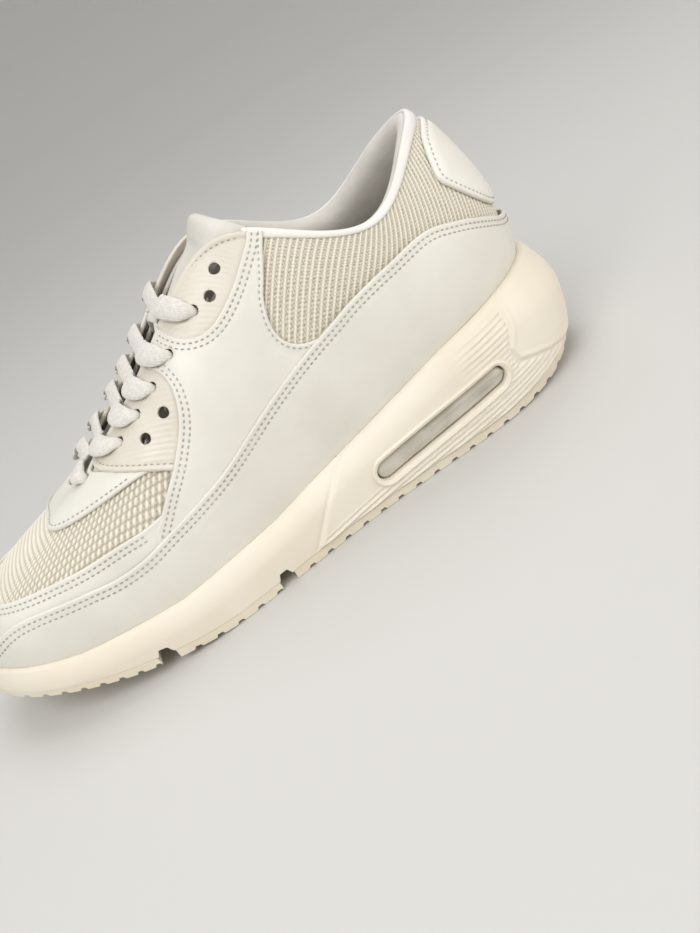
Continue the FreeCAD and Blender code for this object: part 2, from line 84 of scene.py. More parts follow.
def closed_stations(edge):
    share = EDGE_SHARE[edge]
    lateral = []
    medial = []
    for k, (x, wide, high) in enumerate(PATTERN[edge]):
        extra = MEDIAL_EXTRA[k] * share
        centre = extra if k == 0 else 0.0
        pull, drop = (INSTEP_PULL[k], INSTEP_DROP[k]) if edge == "upper" else (0, 0)
        lateral.append((x, centre - wide, high))
        medial.append((x, wide + extra - pull, high - drop))
    return np.array(lateral + medial[7:0:-1], float)


def periodic(values):
    """Cubic spline through values at 0, 1, 2 ... that closes on itself."""
    count = len(values)
    matrix = np.zeros((count, count))
    for i in range(count):
        matrix[i, i] = 4
        matrix[i, (i + 1) % count] = 1
        matrix[i, (i - 1) % count] = 1
    bend = np.linalg.solve(matrix, 6 * (np.roll(values, -1, 0) - 2 * values + np.roll(values, 1, 0)))

    def value(t):
        t = np.mod(np.asarray(t, float), count)
        i = np.floor(t).astype(int) % count
        j = (i + 1) % count
        f = (t - np.floor(t))[..., None]
        g = 1 - f
        return g * values[i] + f * values[j] + ((g ** 3 - g) * bend[i] + (f ** 3 - f) * bend[j]) / 6

    return value


EDGES = [periodic(closed_stations(name)) for name in ("feather", "lower", "upper", "topline")]


def on_form(t, v):
    t, v = np.broadcast_arrays(np.asarray(t, float), np.asarray(v, float))
    a, b, c, d = [edge(t) for edge in EDGES]
    v = v[..., None]
    w = 1 - v
    return a * w ** 3 + 3 * b * v * w * w + 3 * c * v * v * w + d * v ** 3


def slopes(t, v):
    """Steps of the form per unit of t and of v."""
    step = 0.002
    low = np.clip(np.asarray(v, float) - step, 0, 1)
    high = np.clip(np.asarray(v, float) + step, 0, 1)
    along = (on_form(t + step, v) - on_form(t - step, v)) / (2 * step)
    up = (on_form(t, high) - on_form(t, low)) / (high - low)[..., None]
    return along, up


def unit(vectors):
    return vectors / np.maximum(np.linalg.norm(vectors, axis=-1, keepdims=True), 1e-9)


def frame_at(t, v):
    """Steps of the form along and up, and the direction that points out of it."""
    along, up = slopes(t, v)
    return along, up, unit(np.cross(along, up))


def skin(t, v, depth=0.0):
    """Points lying depth outside the form."""
    t, v, depth = np.broadcast_arrays(np.asarray(t, float), np.asarray(v, float), np.asarray(depth, float))
    return on_form(t, v) + frame_at(t, v)[2] * depth[..., None]


def smooth(x, low, high):
    """Eased step from 0 at low to 1 at high."""
    s = np.clip((x - low) / (high - low), 0, 1)
    return s * s * (3 - 2 * s)


def heel_share(t):
    return 1.0 - smooth(np.abs(np.mod(t, TURN) - HEEL), 0, 2.5)


def sole_ring(t, depth, flare):
    extra = (SIDE_FLARE + HEEL_FLARE * heel_share(t)) if flare else 0.0
    return skin(t, FOOT_V, depth + extra)


ROUND = np.linspace(0, 16, 400, endpoint=False)
widest = sole_ring(ROUND, WALL, True)
CENTRE = (widest.min(0) + widest.max(0)) / 2 * np.array([1, 1, 0])

SIDES = {"lateral": 1, "medial": -1}


def on_side(t, side):
    return t if side == "lateral" else 16.0 - t


# ---------------------------------------------------------------- meshes
def add_mesh(name, points, faces, material, body=BODY, replaces=(), floats=None, uv=None):
    mesh = bpy.data.meshes.new(name)
    points = (np.asarray(points, float).reshape(-1, 3) - CENTRE) * MM
    mesh.from_pydata(points.tolist(), [], [tuple(int(i) for i in f) for f in faces])
    mesh.validate()
    for key, values in (floats or {}).items():
        layer = mesh.attributes.new(key, "FLOAT", "POINT")
        layer.data.foreach_set("value", np.asarray(values, np.float32))
    if uv is not None:
        layer = mesh.uv_layers.new(name="UVMap")
        corners = np.empty(len(mesh.loops), np.int32)
        mesh.loops.foreach_get("vertex_index", corners)
        layer.data.foreach_set("uv", np.asarray(uv, np.float32)[corners].ravel())
    mesh.polygons.foreach_set("use_smooth", [True] * len(mesh.polygons))
    mesh.materials.append(material)
    obj = bpy.data.objects.new(name, mesh)
    bpy.context.scene.collection.objects.link(obj)
    if body:
        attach(obj, body)
    if replaces:
        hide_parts(*replaces)
    return obj


def grid_faces(rows, columns, wrap_rows=False, wrap_columns=False):
    r = np.arange(rows if wrap_rows else rows - 1)
    c = np.arange(columns if wrap_columns else columns - 1)
    r, c = np.meshgrid(r, c, indexing="ij")
    r1 = (r + 1) % rows
    c1 = (c + 1) % columns
    quads = np.stack([r * columns + c, r1 * columns + c, r1 * columns + c1, r * columns + c1], -1)
    return quads.reshape(-1, 4)


def tube_faces(rows, columns):
    """Faces of a tube made of closed rings, with a lid on each end."""
    last = (rows - 1) * columns
    faces = [tuple(f) for f in grid_faces(rows, columns, wrap_columns=True)]
    return faces + [tuple(range(columns)), tuple(last + i for i in reversed(range(columns)))]


def spline_step(p0, p1, p2, p3, f):
    """The point a share f of the way from p1 to p2 on a smooth line through four points."""
    return 0.5 * (2 * p1 + (p2 - p0) * f + (2 * p0 - 5 * p1 + 4 * p2 - p3) * f ** 2
                  + (3 * p1 - p0 - 3 * p2 + p3) * f ** 3)


def smooth_path(points, closed, per=14):
    """Smooth line through (t, v) points; a third value of 1 keeps a point as a corner."""
    at = np.array([p[:2] for p in points], float)
    corner = [len(p) > 2 for p in points]
    count = len(at)
    out = []
    s = np.linspace(0, 1, per, endpoint=False)[:, None]
    for i in range(count if closed else count - 1):
        j = (i + 1) % count
        p1, p2 = at[i], at[j]
        open_start = corner[i] or (not closed and i == 0)
        open_end = corner[j] or (not closed and j == count - 1)
        p0 = 2 * p1 - p2 if open_start else at[i - 1]
        p3 = 2 * p2 - p1 if open_end else at[(j + 1) % count]
        out.append(spline_step(p0, p1, p2, p3, s))
    if not closed:
        out.append(at[-1:])
    return np.concatenate(out)


def resample(line, spacing, closed):
    ring = np.vstack([line, line[:1]]) if closed else line
    places = on_form(ring[:, 0], ring[:, 1])
    run = np.concatenate([[0], np.cumsum(np.linalg.norm(np.diff(places, axis=0), axis=1))])
    count = max(4, int(round(run[-1] / spacing)))
    at = np.linspace(0, run[-1], count + 1)
    if closed:
        at = at[:-1]
    return np.stack([np.interp(at, run, ring[:, k]) for k in (0, 1)], -1)


def shifted(line, distance, closed):
    """The line moved sideways on the form by distance, to its left."""
    places = on_form(line[:, 0], line[:, 1])
    if closed:
        tangent = np.roll(places, -1, 0) - np.roll(places, 1, 0)
    else:
        tangent = np.gradient(places, axis=0)
    along, up, normal = frame_at(line[:, 0], line[:, 1])
    left = unit(np.cross(normal, unit(tangent)))
    aa = (along * along).sum(-1)
    ab = (along * up).sum(-1)
    bb = (up * up).sum(-1)
    la = (left * along).sum(-1)
    lb = (left * up).sum(-1)
    det = np.maximum(aa * bb - ab * ab, 1e-6)
    move = np.stack([(la * bb - lb * ab) / det, (lb * aa - la * ab) / det], -1)
    return line + move * np.asarray(distance).reshape(-1, 1)


def inside(points, loop):
    x, y = points[:, 0][:, None], points[:, 1][:, None]
    x0, y0 = loop[:, 0][None], loop[:, 1][None]
    x1, y1 = np.roll(x0, -1, 1), np.roll(y0, -1, 1)
    crosses = ((y0 > y) != (y1 > y)) & (x < (x1 - x0) * (y - y0) / np.where(y1 == y0, 1e-12, y1 - y0) + x0)
    return crosses.sum(1) % 2 == 1


def nearest(points, others):
    best = np.full(len(points), 1e9)
    for i in range(0, len(points), 2000):
        block = points[i:i + 2000, None] - others[None]
        best[i:i + 2000] = np.sqrt((block ** 2).sum(-1).min(1))
    return best


def circle_on_form(t, v, radius, count=18):
    along, up, normal = [part[0] for part in frame_at(np.array([t]), np.array([v]))]
    a = unit(along)
    b = np.cross(normal, a)
    angle = np.linspace(0, 2 * np.pi, count, endpoint=False)
    want = radius * (np.cos(angle)[:, None] * a + np.sin(angle)[:, None] * b)
    basis = np.stack([along, up], 1)
    move = np.linalg.lstsq(basis, want.T, rcond=None)[0].T
    return np.array([t, v]) + move


EYELET_R = 2.3
RINGS = (0.15, 0.4, 0.9, 1.6, 2.3, 3.0, 3.8, 4.6, 5.5, 6.6)


def panel(name, loop, depth_in, depth_out, material, replaces=(), holes=(), fill=2.6, spacing=1.1,
          relief=None, soft=0.6, rings=RINGS):
    """A cut piece of sheet lying on the form, with rolled edges and punched holes."""
    line = resample(smooth_path(loop, True), spacing, True)
    area = (line[:, 0] * np.roll(line[:, 1], -1) - np.roll(line[:, 0], -1) * line[:, 1]).sum()
    if area < 0:
        line = line[::-1]
    edge_places = on_form(line[:, 0], line[:, 1])
    along, up = slopes(line[:, 0], line[:, 1])
    scale = np.array([np.median(np.linalg.norm(along, axis=1)), np.median(np.linalg.norm(up, axis=1))])
    free = []
    for ring in rings:
        moved = shifted(line, ring, True)
        keep = inside(moved, line) & (moved[:, 1] < 1.0) & (moved[:, 1] > 0.0)
        moved = moved[keep]
        if len(moved):
            far = nearest(on_form(moved[:, 0], moved[:, 1]), edge_places) > ring * 0.85
            free.append(moved[far])
    low, high = line.min(0), line.max(0)
    ts = np.arange(low[0], high[0], fill / scale[0])
    vs = np.arange(low[1], high[1], fill / scale[1])
    t, v = np.meshgrid(ts, vs, indexing="ij")
    lattice = np.stack([t.ravel(), v.ravel()], -1)
    lattice = lattice[inside(lattice, line)]
    if len(lattice):
        clear = nearest(on_form(lattice[:, 0], lattice[:, 1]), edge_places) > max(rings) + fill * 0.4
        free.append(lattice[clear])
    free = np.concatenate(free)
    loops = [circle_on_form(t0, v0, EYELET_R) for t0, v0 in holes]
    for hole in loops:
        free = free[~inside(free, hole)]
    every = [line] + loops + [free]
    flat = np.concatenate(every) * scale
    edges = []
    start = 0
    for part in every[:-1]:
        count = len(part)
        edges += [(start + i, start + (i + 1) % count) for i in range(count)]
        start += count
    made = delaunay_2d_cdt([Vector(p) for p in flat.tolist()], edges, [list(range(len(line)))], 1, 1e-5)
    at = np.array([tuple(p) for p in made[0]]) / scale
    triangles = np.array([f for f in made[2] if len(f) == 3])
    middle = at[triangles].mean(1)
    good = np.ones(len(triangles), bool)
    for hole in loops:
        good &= ~inside(middle, hole)
    triangles = triangles[good]
    places = on_form(at[:, 0], at[:, 1])
    dist = nearest(places, edge_places)
    x = np.clip(dist / soft, 0, 1)
    drop = soft * (1 - np.sqrt(np.clip(1 - (1 - x) ** 2, 0, 1)))
    depth = depth_out - drop
    if relief is not None:
        depth = depth + relief(at, places, dist)
    outer = skin(at[:, 0], at[:, 1], depth)
    inner = skin(at[:, 0], at[:, 1], depth_in)
    count = len(at)
    pairs = {}
    for a, b, c in triangles:
        for e in ((a, b), (b, c), (c, a)):
            pairs[e] = pairs.get(e, 0) + 1
    walls = [(a, a + count, b + count, b) for a, b in pairs if (b, a) not in pairs]
    faces = [tuple(f) for f in triangles] + [tuple(f[::-1] + count) for f in triangles] + walls
    add_mesh(name, np.concatenate([outer, inner]), faces, material, replaces=replaces)


# ---------------------------------------------------------------- sewing
THREAD_R = 0.30
STITCH_PITCH = 2.35
STITCH_RUN = 1.5


def stitches(name, rows, material):
    """Rows of thread.  Each row is (line, distance to its left, depth)."""
    points = []
    faces = []
    ring = np.linspace(0, 2 * np.pi, 6, endpoint=False)
    stations = np.array([-0.5, -0.36, -0.12, 0.12, 0.36, 0.5])
    fat = np.array([0.25, 0.85, 1.0, 1.0, 0.85, 0.25])
    sink = np.array([0.9, 0.25, 0.0, 0.0, 0.25, 0.9])
    template = grid_faces(6, 6, wrap_columns=True)
    for line, distance, depth in rows:
        moved = shifted(line, distance, False)
        fine = resample(moved, STITCH_PITCH, False)
        mid = 0.5 * (fine[1:] + fine[:-1])
        centre = skin(mid[:, 0], mid[:, 1], depth)
        tangent = unit(on_form(fine[1:, 0], fine[1:, 1]) - on_form(fine[:-1, 0], fine[:-1, 1]))
        normal = frame_at(mid[:, 0], mid[:, 1])[2]
        across = np.cross(normal, tangent)
        for c, tv, nv, av in zip(centre, tangent, normal, across):
            base = len(points)
            for s, f, k in zip(stations, fat, sink):
                middle = c + tv * (s * STITCH_RUN) - nv * (k * THREAD_R * 1.6)
                for angle in ring:
                    points.append(middle + THREAD_R * f * (np.cos(angle) * av + np.sin(angle) * nv))
            faces.extend((template + base).tolist())
    add_mesh(name, points, faces, material)


# ---------------------------------------------------------------- materials
def new_material(name, color, roughness, **values):
    mat = bpy.data.materials.new(name)
    mat.use_nodes = True
    nodes = mat.node_tree.nodes
    shader = nodes["Principled BSDF"]
    shader.inputs["Base Color"].default_value = (*color, 1)
    shader.inputs["Roughness"].default_value = roughness
    for key, value in values.items():
        shader.inputs[key.replace("_", " ")].default_value = value
    return mat, mat.node_tree, shader


def node(tree, kind, **settings):
    made = tree.nodes.new(kind)
    for key, value in settings.items():
        if key in made.inputs:
            made.inputs[key].default_value = value
        else:
            setattr(made, key, value)
    return made


def noise_node(tree, size_mm, detail):
    return node(tree, "ShaderNodeTexNoise", Scale=1.0 / (size_mm * MM), Detail=detail)


def ramp_to_color(tree, source, shader, stops):
    """Colours the shader by a value, through (position, colour) stops of which the first two are the ends."""
    ramp = node(tree, "ShaderNodeValToRGB")
    elements = ramp.color_ramp.elements
    for k, (position, color) in enumerate(stops):
        stop = elements[k] if k < 2 else elements.new(position)
        stop.position = position
        stop.color = (*color, 1)
    tree.links.new(source, ramp.inputs["Fac"])
    tree.links.new(ramp.outputs["Color"], shader.inputs["Base Color"])


def mottled(tree, shader, colors, size_mm, detail=3.0):
    """Colour drifting between two tones over patches of a given size."""
    coords = node(tree, "ShaderNodeTexCoord")
    noise = noise_node(tree, size_mm, detail)
    tree.links.new(coords.outputs["Object"], noise.inputs["Vector"])
    ramp_to_color(tree, noise.outputs["Fac"], shader, zip((0.35, 0.65), colors))
    return coords


def bumps(tree, shader, coords, layers):
    """Stacks bump layers: (texture node, output name, height in mm, strength)."""
    previous = None
    for texture, output, height, strength in layers:
        if "Vector" in texture.inputs and not texture.inputs["Vector"].is_linked:
            tree.links.new(coords.outputs["Object"], texture.inputs["Vector"])
        bump = node(tree, "ShaderNodeBump", Strength=strength, Distance=height * MM)
        tree.links.new(texture.outputs[output], bump.inputs["Height"])
        if previous:
            tree.links.new(previous.outputs["Normal"], bump.inputs["Normal"])
        previous = bump
    tree.links.new(previous.outputs["Normal"], shader.inputs["Normal"])


def rough_noise(tree, shader, coords, size_mm, low, high):
    noise = noise_node(tree, size_mm, 4.0)
    spread = node(tree, "ShaderNodeMapRange")
    for key, value in (("From Min", 0.3), ("From Max", 0.7), ("To Min", low), ("To Max", high)):
        spread.inputs[key].default_value = value
    tree.links.new(coords.outputs["Object"], noise.inputs["Vector"])
    tree.links.new(noise.outputs["Fac"], spread.inputs["Value"])
    tree.links.new(spread.outputs["Result"], shader.inputs["Roughness"])


def leather_material(name, tones, grain=1.0):
    mat, tree, shader = new_material(name, tones[1], 0.45, Coat_Weight=0.08, Coat_Roughness=0.35)
    coords = mottled(tree, shader, tones, 26.0)
    rough_noise(tree, shader, coords, 9.0, 0.40, 0.54)
    cells = node(tree, "ShaderNodeTexVoronoi", Scale=1.0 / (1.1 * MM), feature="SMOOTH_F1")
    wrinkles = noise_node(tree, 5.0, 5.0)
    bumps(tree, shader, coords, [(cells, "Distance", 0.05 * grain, 0.5), (wrinkles, "Fac", 0.35, 0.35)])
    return mat


def mesh_material(name):
    mat, tree, shader = new_material(name, (0.80, 0.76, 0.65), 0.85, Sheen_Weight=0.25, Sheen_Roughness=0.5)
    relief = node(tree, "ShaderNodeAttribute", attribute_name="relief")
    # the knit is coloured by its height: the low gaps between cords and grains are painted dark as shade, and the
    # raised tops are painted lighter as a highlight
    ramp_to_color(tree, relief.outputs["Fac"], shader,
                  ((0.08, (0.36, 0.325, 0.25)), (0.80, (0.86, 0.81, 0.69)), (0.40, (0.66, 0.61, 0.50))))
    coords = node(tree, "ShaderNodeTexCoord")
    fibre = noise_node(tree, 0.35, 3.0)
    bumps(tree, shader, coords, [(fibre, "Fac", 0.08, 0.6)])
    return mat


def cloth_material(name, tones, cell_mm, height=0.12):
    mat, tree, shader = new_material(name, tones[1], 0.9, Sheen_Weight=0.35, Sheen_Roughness=0.4)
    coords = mottled(tree, shader, tones, 14.0)
    knit = node(tree, "ShaderNodeTexVoronoi", Scale=1.0 / (cell_mm * MM), Randomness=0.35)
    fuzz = noise_node(tree, 0.3, 3.0)
    folds = noise_node(tree, 16.0, 2.0)
    bumps(tree, shader, coords, [(folds, "Fac", 0.8, 0.35), (knit, "Distance", height, 0.6),
                                 (fuzz, "Fac", 0.05, 0.5)])
    return mat


def lace_material(name):
    mat, tree, shader = new_material(name, (0.84, 0.82, 0.77), 0.85, Sheen_Weight=0.3)
    mottled(tree, shader, ((0.66, 0.63, 0.575), (0.75, 0.72, 0.67)), 1.4, detail=2.0)
    uv = node(tree, "ShaderNodeUVMap", uv_map="UVMap")
    split = node(tree, "ShaderNodeSeparateXYZ")
    tree.links.new(uv.outputs["UV"], split.inputs["Vector"])

    def maths(operation, *terms):
        made = node(tree, "ShaderNodeMath", operation=operation)
        for k, term in enumerate(terms):
            if isinstance(term, float):
                made.inputs[k].default_value = term
            else:
                tree.links.new(term, made.inputs[k])
        return made.outputs["Value"]

    # chevron weave: the run along the lace plus the distance from its middle line
    off = maths("ABSOLUTE", split.outputs["Y"])
    wave = maths("SINE", maths("MULTIPLY", maths("ADD", split.outputs["X"], off), 2 * math.pi / 1.15))
    cords = maths("COSINE", maths("MULTIPLY", split.outputs["Y"], 2 * math.pi / 0.9))
    both = maths("MULTIPLY_ADD", wave, 0.6, cords)
    bump = node(tree, "ShaderNodeBump", Strength=0.55, Distance=0.07 * MM)
    tree.links.new(both, bump.inputs["Height"])
    tree.links.new(bump.outputs["Normal"], shader.inputs["Normal"])
    return mat


def foam_material(name, tones, rough=(0.42, 0.58), glow=0.12):
    mat, tree, shader = new_material(name, tones[1], 0.5, Subsurface_Weight=glow, Subsurface_Scale=0.5,
                                     Subsurface_Radius=(0.004, 0.003, 0.002))
    coords = mottled(tree, shader, tones, 38.0)
    rough_noise(tree, shader, coords, 14.0, *rough)
    skin_grain = noise_node(tree, 0.9, 4.0)
    waves = noise_node(tree, 12.0, 2.0)
    bumps(tree, shader, coords, [(waves, "Fac", 0.25, 0.3), (skin_grain, "Fac", 0.04, 0.4)])
    return mat


LEATHER = leather_material("overlay_leather", ((0.73, 0.705, 0.635), (0.78, 0.755, 0.685)))
RIBBED = leather_material("ribbed_stay_leather", ((0.66, 0.61, 0.52), (0.73, 0.68, 0.59)), grain=0.6)
TAB = leather_material("heel_patch_smooth", ((0.78, 0.75, 0.68), (0.83, 0.80, 0.74)), grain=0.25)
MESH = mesh_material("knitted_mesh")
LINING = cloth_material("lining_knit", ((0.60, 0.565, 0.515), (0.68, 0.645, 0.595)), 0.9)
TONGUE = cloth_material("tongue_cloth", ((0.62, 0.585, 0.53), (0.69, 0.66, 0.605)), 0.8, height=0.08)
INSOLE = cloth_material("insole_cloth", ((0.62, 0.60, 0.57), (0.70, 0.68, 0.65)), 0.7)
LACE = lace_material("flat_lace_weave")
FOAM = foam_material("sole_foam_cream", ((0.80, 0.73, 0.605), (0.84, 0.78, 0.67)))
RUBBER = foam_material("sole_rubber_gum", ((0.78, 0.70, 0.545), (0.83, 0.76, 0.625)), rough=(0.3, 0.45), glow=0.3)
THREAD = cloth_material("sewing_thread", ((0.36, 0.34, 0.29), (0.47, 0.45, 0.39)), 0.4, height=0.05)
BINDING = leather_material("collar_binding", ((0.76, 0.74, 0.69), (0.82, 0.80, 0.76)), grain=0.5)


def air_material():
    mat, tree, shader = new_material("air_film", (0.66, 0.62, 0.53), 0.12, Transmission_Weight=0.15, IOR=1.45,
                                     Coat_Weight=0.6, Coat_Roughness=0.08)
    coords = mottled(tree, shader, ((0.55, 0.51, 0.42), (0.76, 0.72, 0.63)), 16.0)
    ripple = noise_node(tree, 7.0, 2.0)
    bumps(tree, shader, coords, [(ripple, "Fac", 0.4, 0.4)])
    return mat


AIR = air_material()

# ---------------------------------------------------------------- lace holes
EYELETS = [(2.05, 0.86), (2.77, 0.80), (3.05, 0.80), (3.30, 0.80), (3.57, 0.81), (3.95, 0.83), (4.18, 0.82),
           (4.30, 0.89)]
LACED = 6
SPARE = [(3.17, 0.67), (3.42, 0.67)]
EVERY_HOLE = [(on_side(t, side), v) for side in SIDES for t, v in EYELETS + SPARE]



def clear_of_holes(places, depths, margin):
    """True for places that keep more than margin away from the rim of every lace hole."""
    centres = [skin(t, v, depth) for t, v in EVERY_HOLE for depth in depths]
    return np.all([np.linalg.norm(places - centre, axis=1) > EYELET_R + margin for centre in centres], axis=0)


# ---------------------------------------------------------------- textile
SIDE_RUN = np.concatenate([[0], np.cumsum(np.linalg.norm(np.diff(
    on_form(np.linspace(0, 8, 401), 0.55), axis=0), axis=1))])


def folded(t):
    """Station measured on one side only, 0 at the toe and 8 at the heel."""
    t = np.mod(t, TURN)
    return np.where(t > HEEL, TURN - t, t)


def run_from_heel(t):
    """Length round the shoe from the heel to station t, the same on both sides."""
    return SIDE_RUN[-1] - np.interp(folded(t), np.linspace(0, HEEL, 401), SIDE_RUN)


COLUMN = 2.35
LOOP = 1.65
GRAIN = 3.1
MESH_HEIGHT = 0.75


def braid_knit(a, b):
    """Height 0..1 of the ankle cloth: raised cords with slanting loops in the channels between."""
    column = np.floor(b / COLUMN)
    across = (b / COLUMN - column) * 2 - 1
    cord = np.exp(-(across / 0.40) ** 2) * (0.82 + 0.18 * np.cos(2 * np.pi * a / LOOP))
    channel = 1 - np.abs(across)
    slant = a / LOOP + 0.32 * np.sign(across) * channel + 0.5 * np.mod(column, 2)
    loop = np.exp(-(channel / 0.45) ** 2) * (0.5 + 0.5 * np.cos(2 * np.pi * slant))
    return np.clip(cord + 0.62 * loop, 0, 1)


def grain_knit(a, b):
    """Height 0..1 of the toe cloth: staggered rows of plump grains."""
    column = np.floor(b / (COLUMN * 0.9))
    across = (b / (COLUMN * 0.9) - column) * 2 - 1
    phase = np.mod(a / GRAIN + 0.5 * np.mod(column, 2), 1.0) * 2 - 1
    body = np.exp(-(across / 0.55) ** 2) * np.clip(1.05 - np.abs(phase) ** 2.4, 0, 1)
    small = 0.35 * np.exp(-((1 - np.abs(across)) / 0.4) ** 2) * (0.5 + 0.5 * np.cos(2 * np.pi * a / (GRAIN / 2)))
    return np.clip(body + small, 0, 1)


def knit_sheet(name, t_range, v_range, knit, pattern, wanted, replaces):
    """A fine grid of knitted cloth, kept only where wanted says it can be seen."""
    step = 0.46
    t_mid = np.linspace(*t_range, 9)
    along, up = slopes(t_mid, np.full(9, 0.5))
    t_count = int(np.linalg.norm(along, axis=1).mean() * (t_range[1] - t_range[0]) / step)
    v_count = int(np.linalg.norm(up, axis=1).mean() * (v_range[1] - v_range[0]) / step)
    t, v = np.meshgrid(np.linspace(*t_range, t_count), np.linspace(*v_range, v_count), indexing="ij")
    t, v = t.ravel(), v.ravel()
    places = on_form(t, v)
    height = knit(*pattern(t, v, places))
    use = wanted(t, v) & clear_of_holes(places, (0.0,), 0.4)
    points = skin(t, v, (height - 0.65) * MESH_HEIGHT)
    faces = grid_faces(t_count, v_count)
    faces = faces[use[faces].all(1)]
    used = np.unique(faces)
    remap = np.zeros(len(t), int)
    remap[used] = np.arange(len(used))
    # the height is also kept as the relief attribute; the knitted_mesh material turns it into painted shade in the
    # gaps and painted highlight on the raised tops
    add_mesh(name, points[used], remap[faces], MESH, replaces=replaces,
             floats={"relief": height[used]})


def ankle_pattern(t, v, places):
    run = run_from_heel(t)
    return run * -0.5 + v * 88 * 0.87, run * 0.87 + v * 88 * 0.5


def vamp_pattern(t, v, places):
    x = places[:, 0]
    y = places[:, 1]
    w = y * (1 + 0.35 * (y / 45) ** 2)
    return 0.77 * x + 0.64 * w, -0.64 * x + 0.77 * w


knit_sheet("quarter_knit", (3.66, 12.34), (0.20, 0.965), braid_knit, ankle_pattern,
           lambda t, v: (folded(t) > 4.45) & (v > 0.24), ("quarter_mesh",))
knit_sheet("vamp_knit", (-3.62, 3.62), (0.28, 0.965), grain_knit, vamp_pattern,
           lambda t, v: (v > 0.30) & (v < 0.93), ("vamp_mesh",))

# ---------------------------------------------------------------- outlines of the overlays, in (t, v)
GUARD_TOP = [(0.87, 0.0, 1), (0.86, 0.09), (0.98, 0.20), (1.18, 0.285), (1.45, 0.355), (1.8, 0.372), (2.28, 0.345),
             (2.6, 0.315), (2.88, 0.305), (3.15, 0.315), (3.45, 0.32), (3.83, 0.335), (4.3, 0.39), (4.78, 0.455),
             (5.15, 0.52), (5.43, 0.59), (5.8, 0.675), (6.12, 0.715), (6.4, 0.69), (6.73, 0.58), (7.1, 0.45),
             (7.45, 0.355), (7.998, 0.30, 1)]
RAND_TOP = [(0.0, 0.475), (1.0, 0.475), (1.5, 0.478), (1.9, 0.47), (2.33, 0.445), (2.68, 0.425), (2.95, 0.40),
            (3.25, 0.385)]
PANEL_FRONT = [(3.05, 0.335), (3.13, 0.375), (3.25, 0.43), (3.38, 0.48), (3.48, 0.53), (3.55, 0.58),
               (3.575, 0.64), (3.54, 0.715), (3.42, 0.80), (3.22, 0.90), (3.10, 0.985, 1)]
PANEL_ARM = [(3.36, 0.985, 1), (3.46, 0.935), (3.60, 0.865), (3.78, 0.79), (3.98, 0.742), (4.16, 0.735),
             (4.32, 0.762), (4.48, 0.81), (4.62, 0.875), (4.73, 0.94), (4.77, 0.985, 1)]
PANEL_REAR = [(4.95, 0.985, 1), (4.89, 0.91), (4.80, 0.80), (4.71, 0.71), (4.68, 0.62), (4.73, 0.55), (4.85, 0.505),
              (5.02, 0.49), (5.2, 0.50)]
LOWER_STAY = [(1.95, 0.985, 1), (3.12, 0.985, 1), (3.24, 0.905), (3.45, 0.80), (3.57, 0.715), (3.605, 0.64),
              (3.58, 0.575), (3.50, 0.515), (3.40, 0.473, 1), (2.95, 0.625), (2.45, 0.79), (2.05, 0.93)]
UPPER_STAY = [(3.36, 0.985, 1), (3.44, 0.925), (3.58, 0.852), (3.77, 0.775), (3.98, 0.727), (4.17, 0.72),
              (4.34, 0.748), (4.51, 0.80), (4.65, 0.868), (4.76, 0.935), (4.79, 0.985, 1)]


def mirrored_line(points, side):
    return [(on_side(p[0], side), *p[1:]) for p in points]


def other_half(points):
    """The same points across the middle line, in reverse order."""
    return [(-p[0], *p[1:]) for p in points[::-1]]


def groove_relief(distances, depth=0.22, width=0.7, puff=0.15):
    """Seams pull the sheet down; the strip between edge and seam stands up a little."""
    def relief(at, places, dist):
        total = puff * np.sin(np.clip(dist / distances[0], 0, 1) * np.pi)
        for d in distances:
            total = total - depth * np.exp(-((dist - d) / width) ** 2)
        wave = np.sin(places[:, 0] * 0.11 + places[:, 2] * 0.07) * np.sin(places[:, 2] * 0.13 - 1.0)
        return total + 0.12 * wave * np.clip(dist / 8, 0, 1)
    return relief


def stay_relief(open_edge):
    """Fine slanting ribs.  The open edges have a folded border; the others dip under the side panel."""
    border_line = resample(smooth_path(open_edge, False), 1.0, False)
    fold = np.vstack([on_form(on_side(border_line[:, 0], side), border_line[:, 1]) for side in SIDES])

    def relief(at, places, dist):
        away = nearest(places, fold)
        q = 0.80 * at[:, 1] * 78 + 0.60 * places[:, 0]
        ribs = 0.5 + 0.5 * np.cos(2 * np.pi * q / 1.75)
        inner = np.clip((away - 3.0) / 0.6, 0, 1)
        border = 0.65 * np.exp(-((away - 1.2) / 1.05) ** 4)
        sunk = np.where(away > dist + 1.0, 1.0 * (1 - np.clip(dist / 2.2, 0, 1)) ** 1.5, 0)
        return border + (ribs ** 1.5) * 0.26 * inner - 0.2 * np.exp(-((away - 2.7) / 0.4) ** 2) - sunk
    return relief


SEAMS = (2.0, 4.0)
SIDE_OUT = PANEL_OUT + 0.35
seam_rows = {"lateral": [], "medial": []}


def row_along(points, side, distance, depth):
    """A seam beside a line of the pattern; distance is to the left on the lateral side."""
    line = smooth_path(points, False)
    if side == "medial":
        line = line * np.array([-1, 1]) + np.array([16, 0])
        distance = -distance
    seam_rows[side].append((resample(line, 1.0, False), distance, depth))


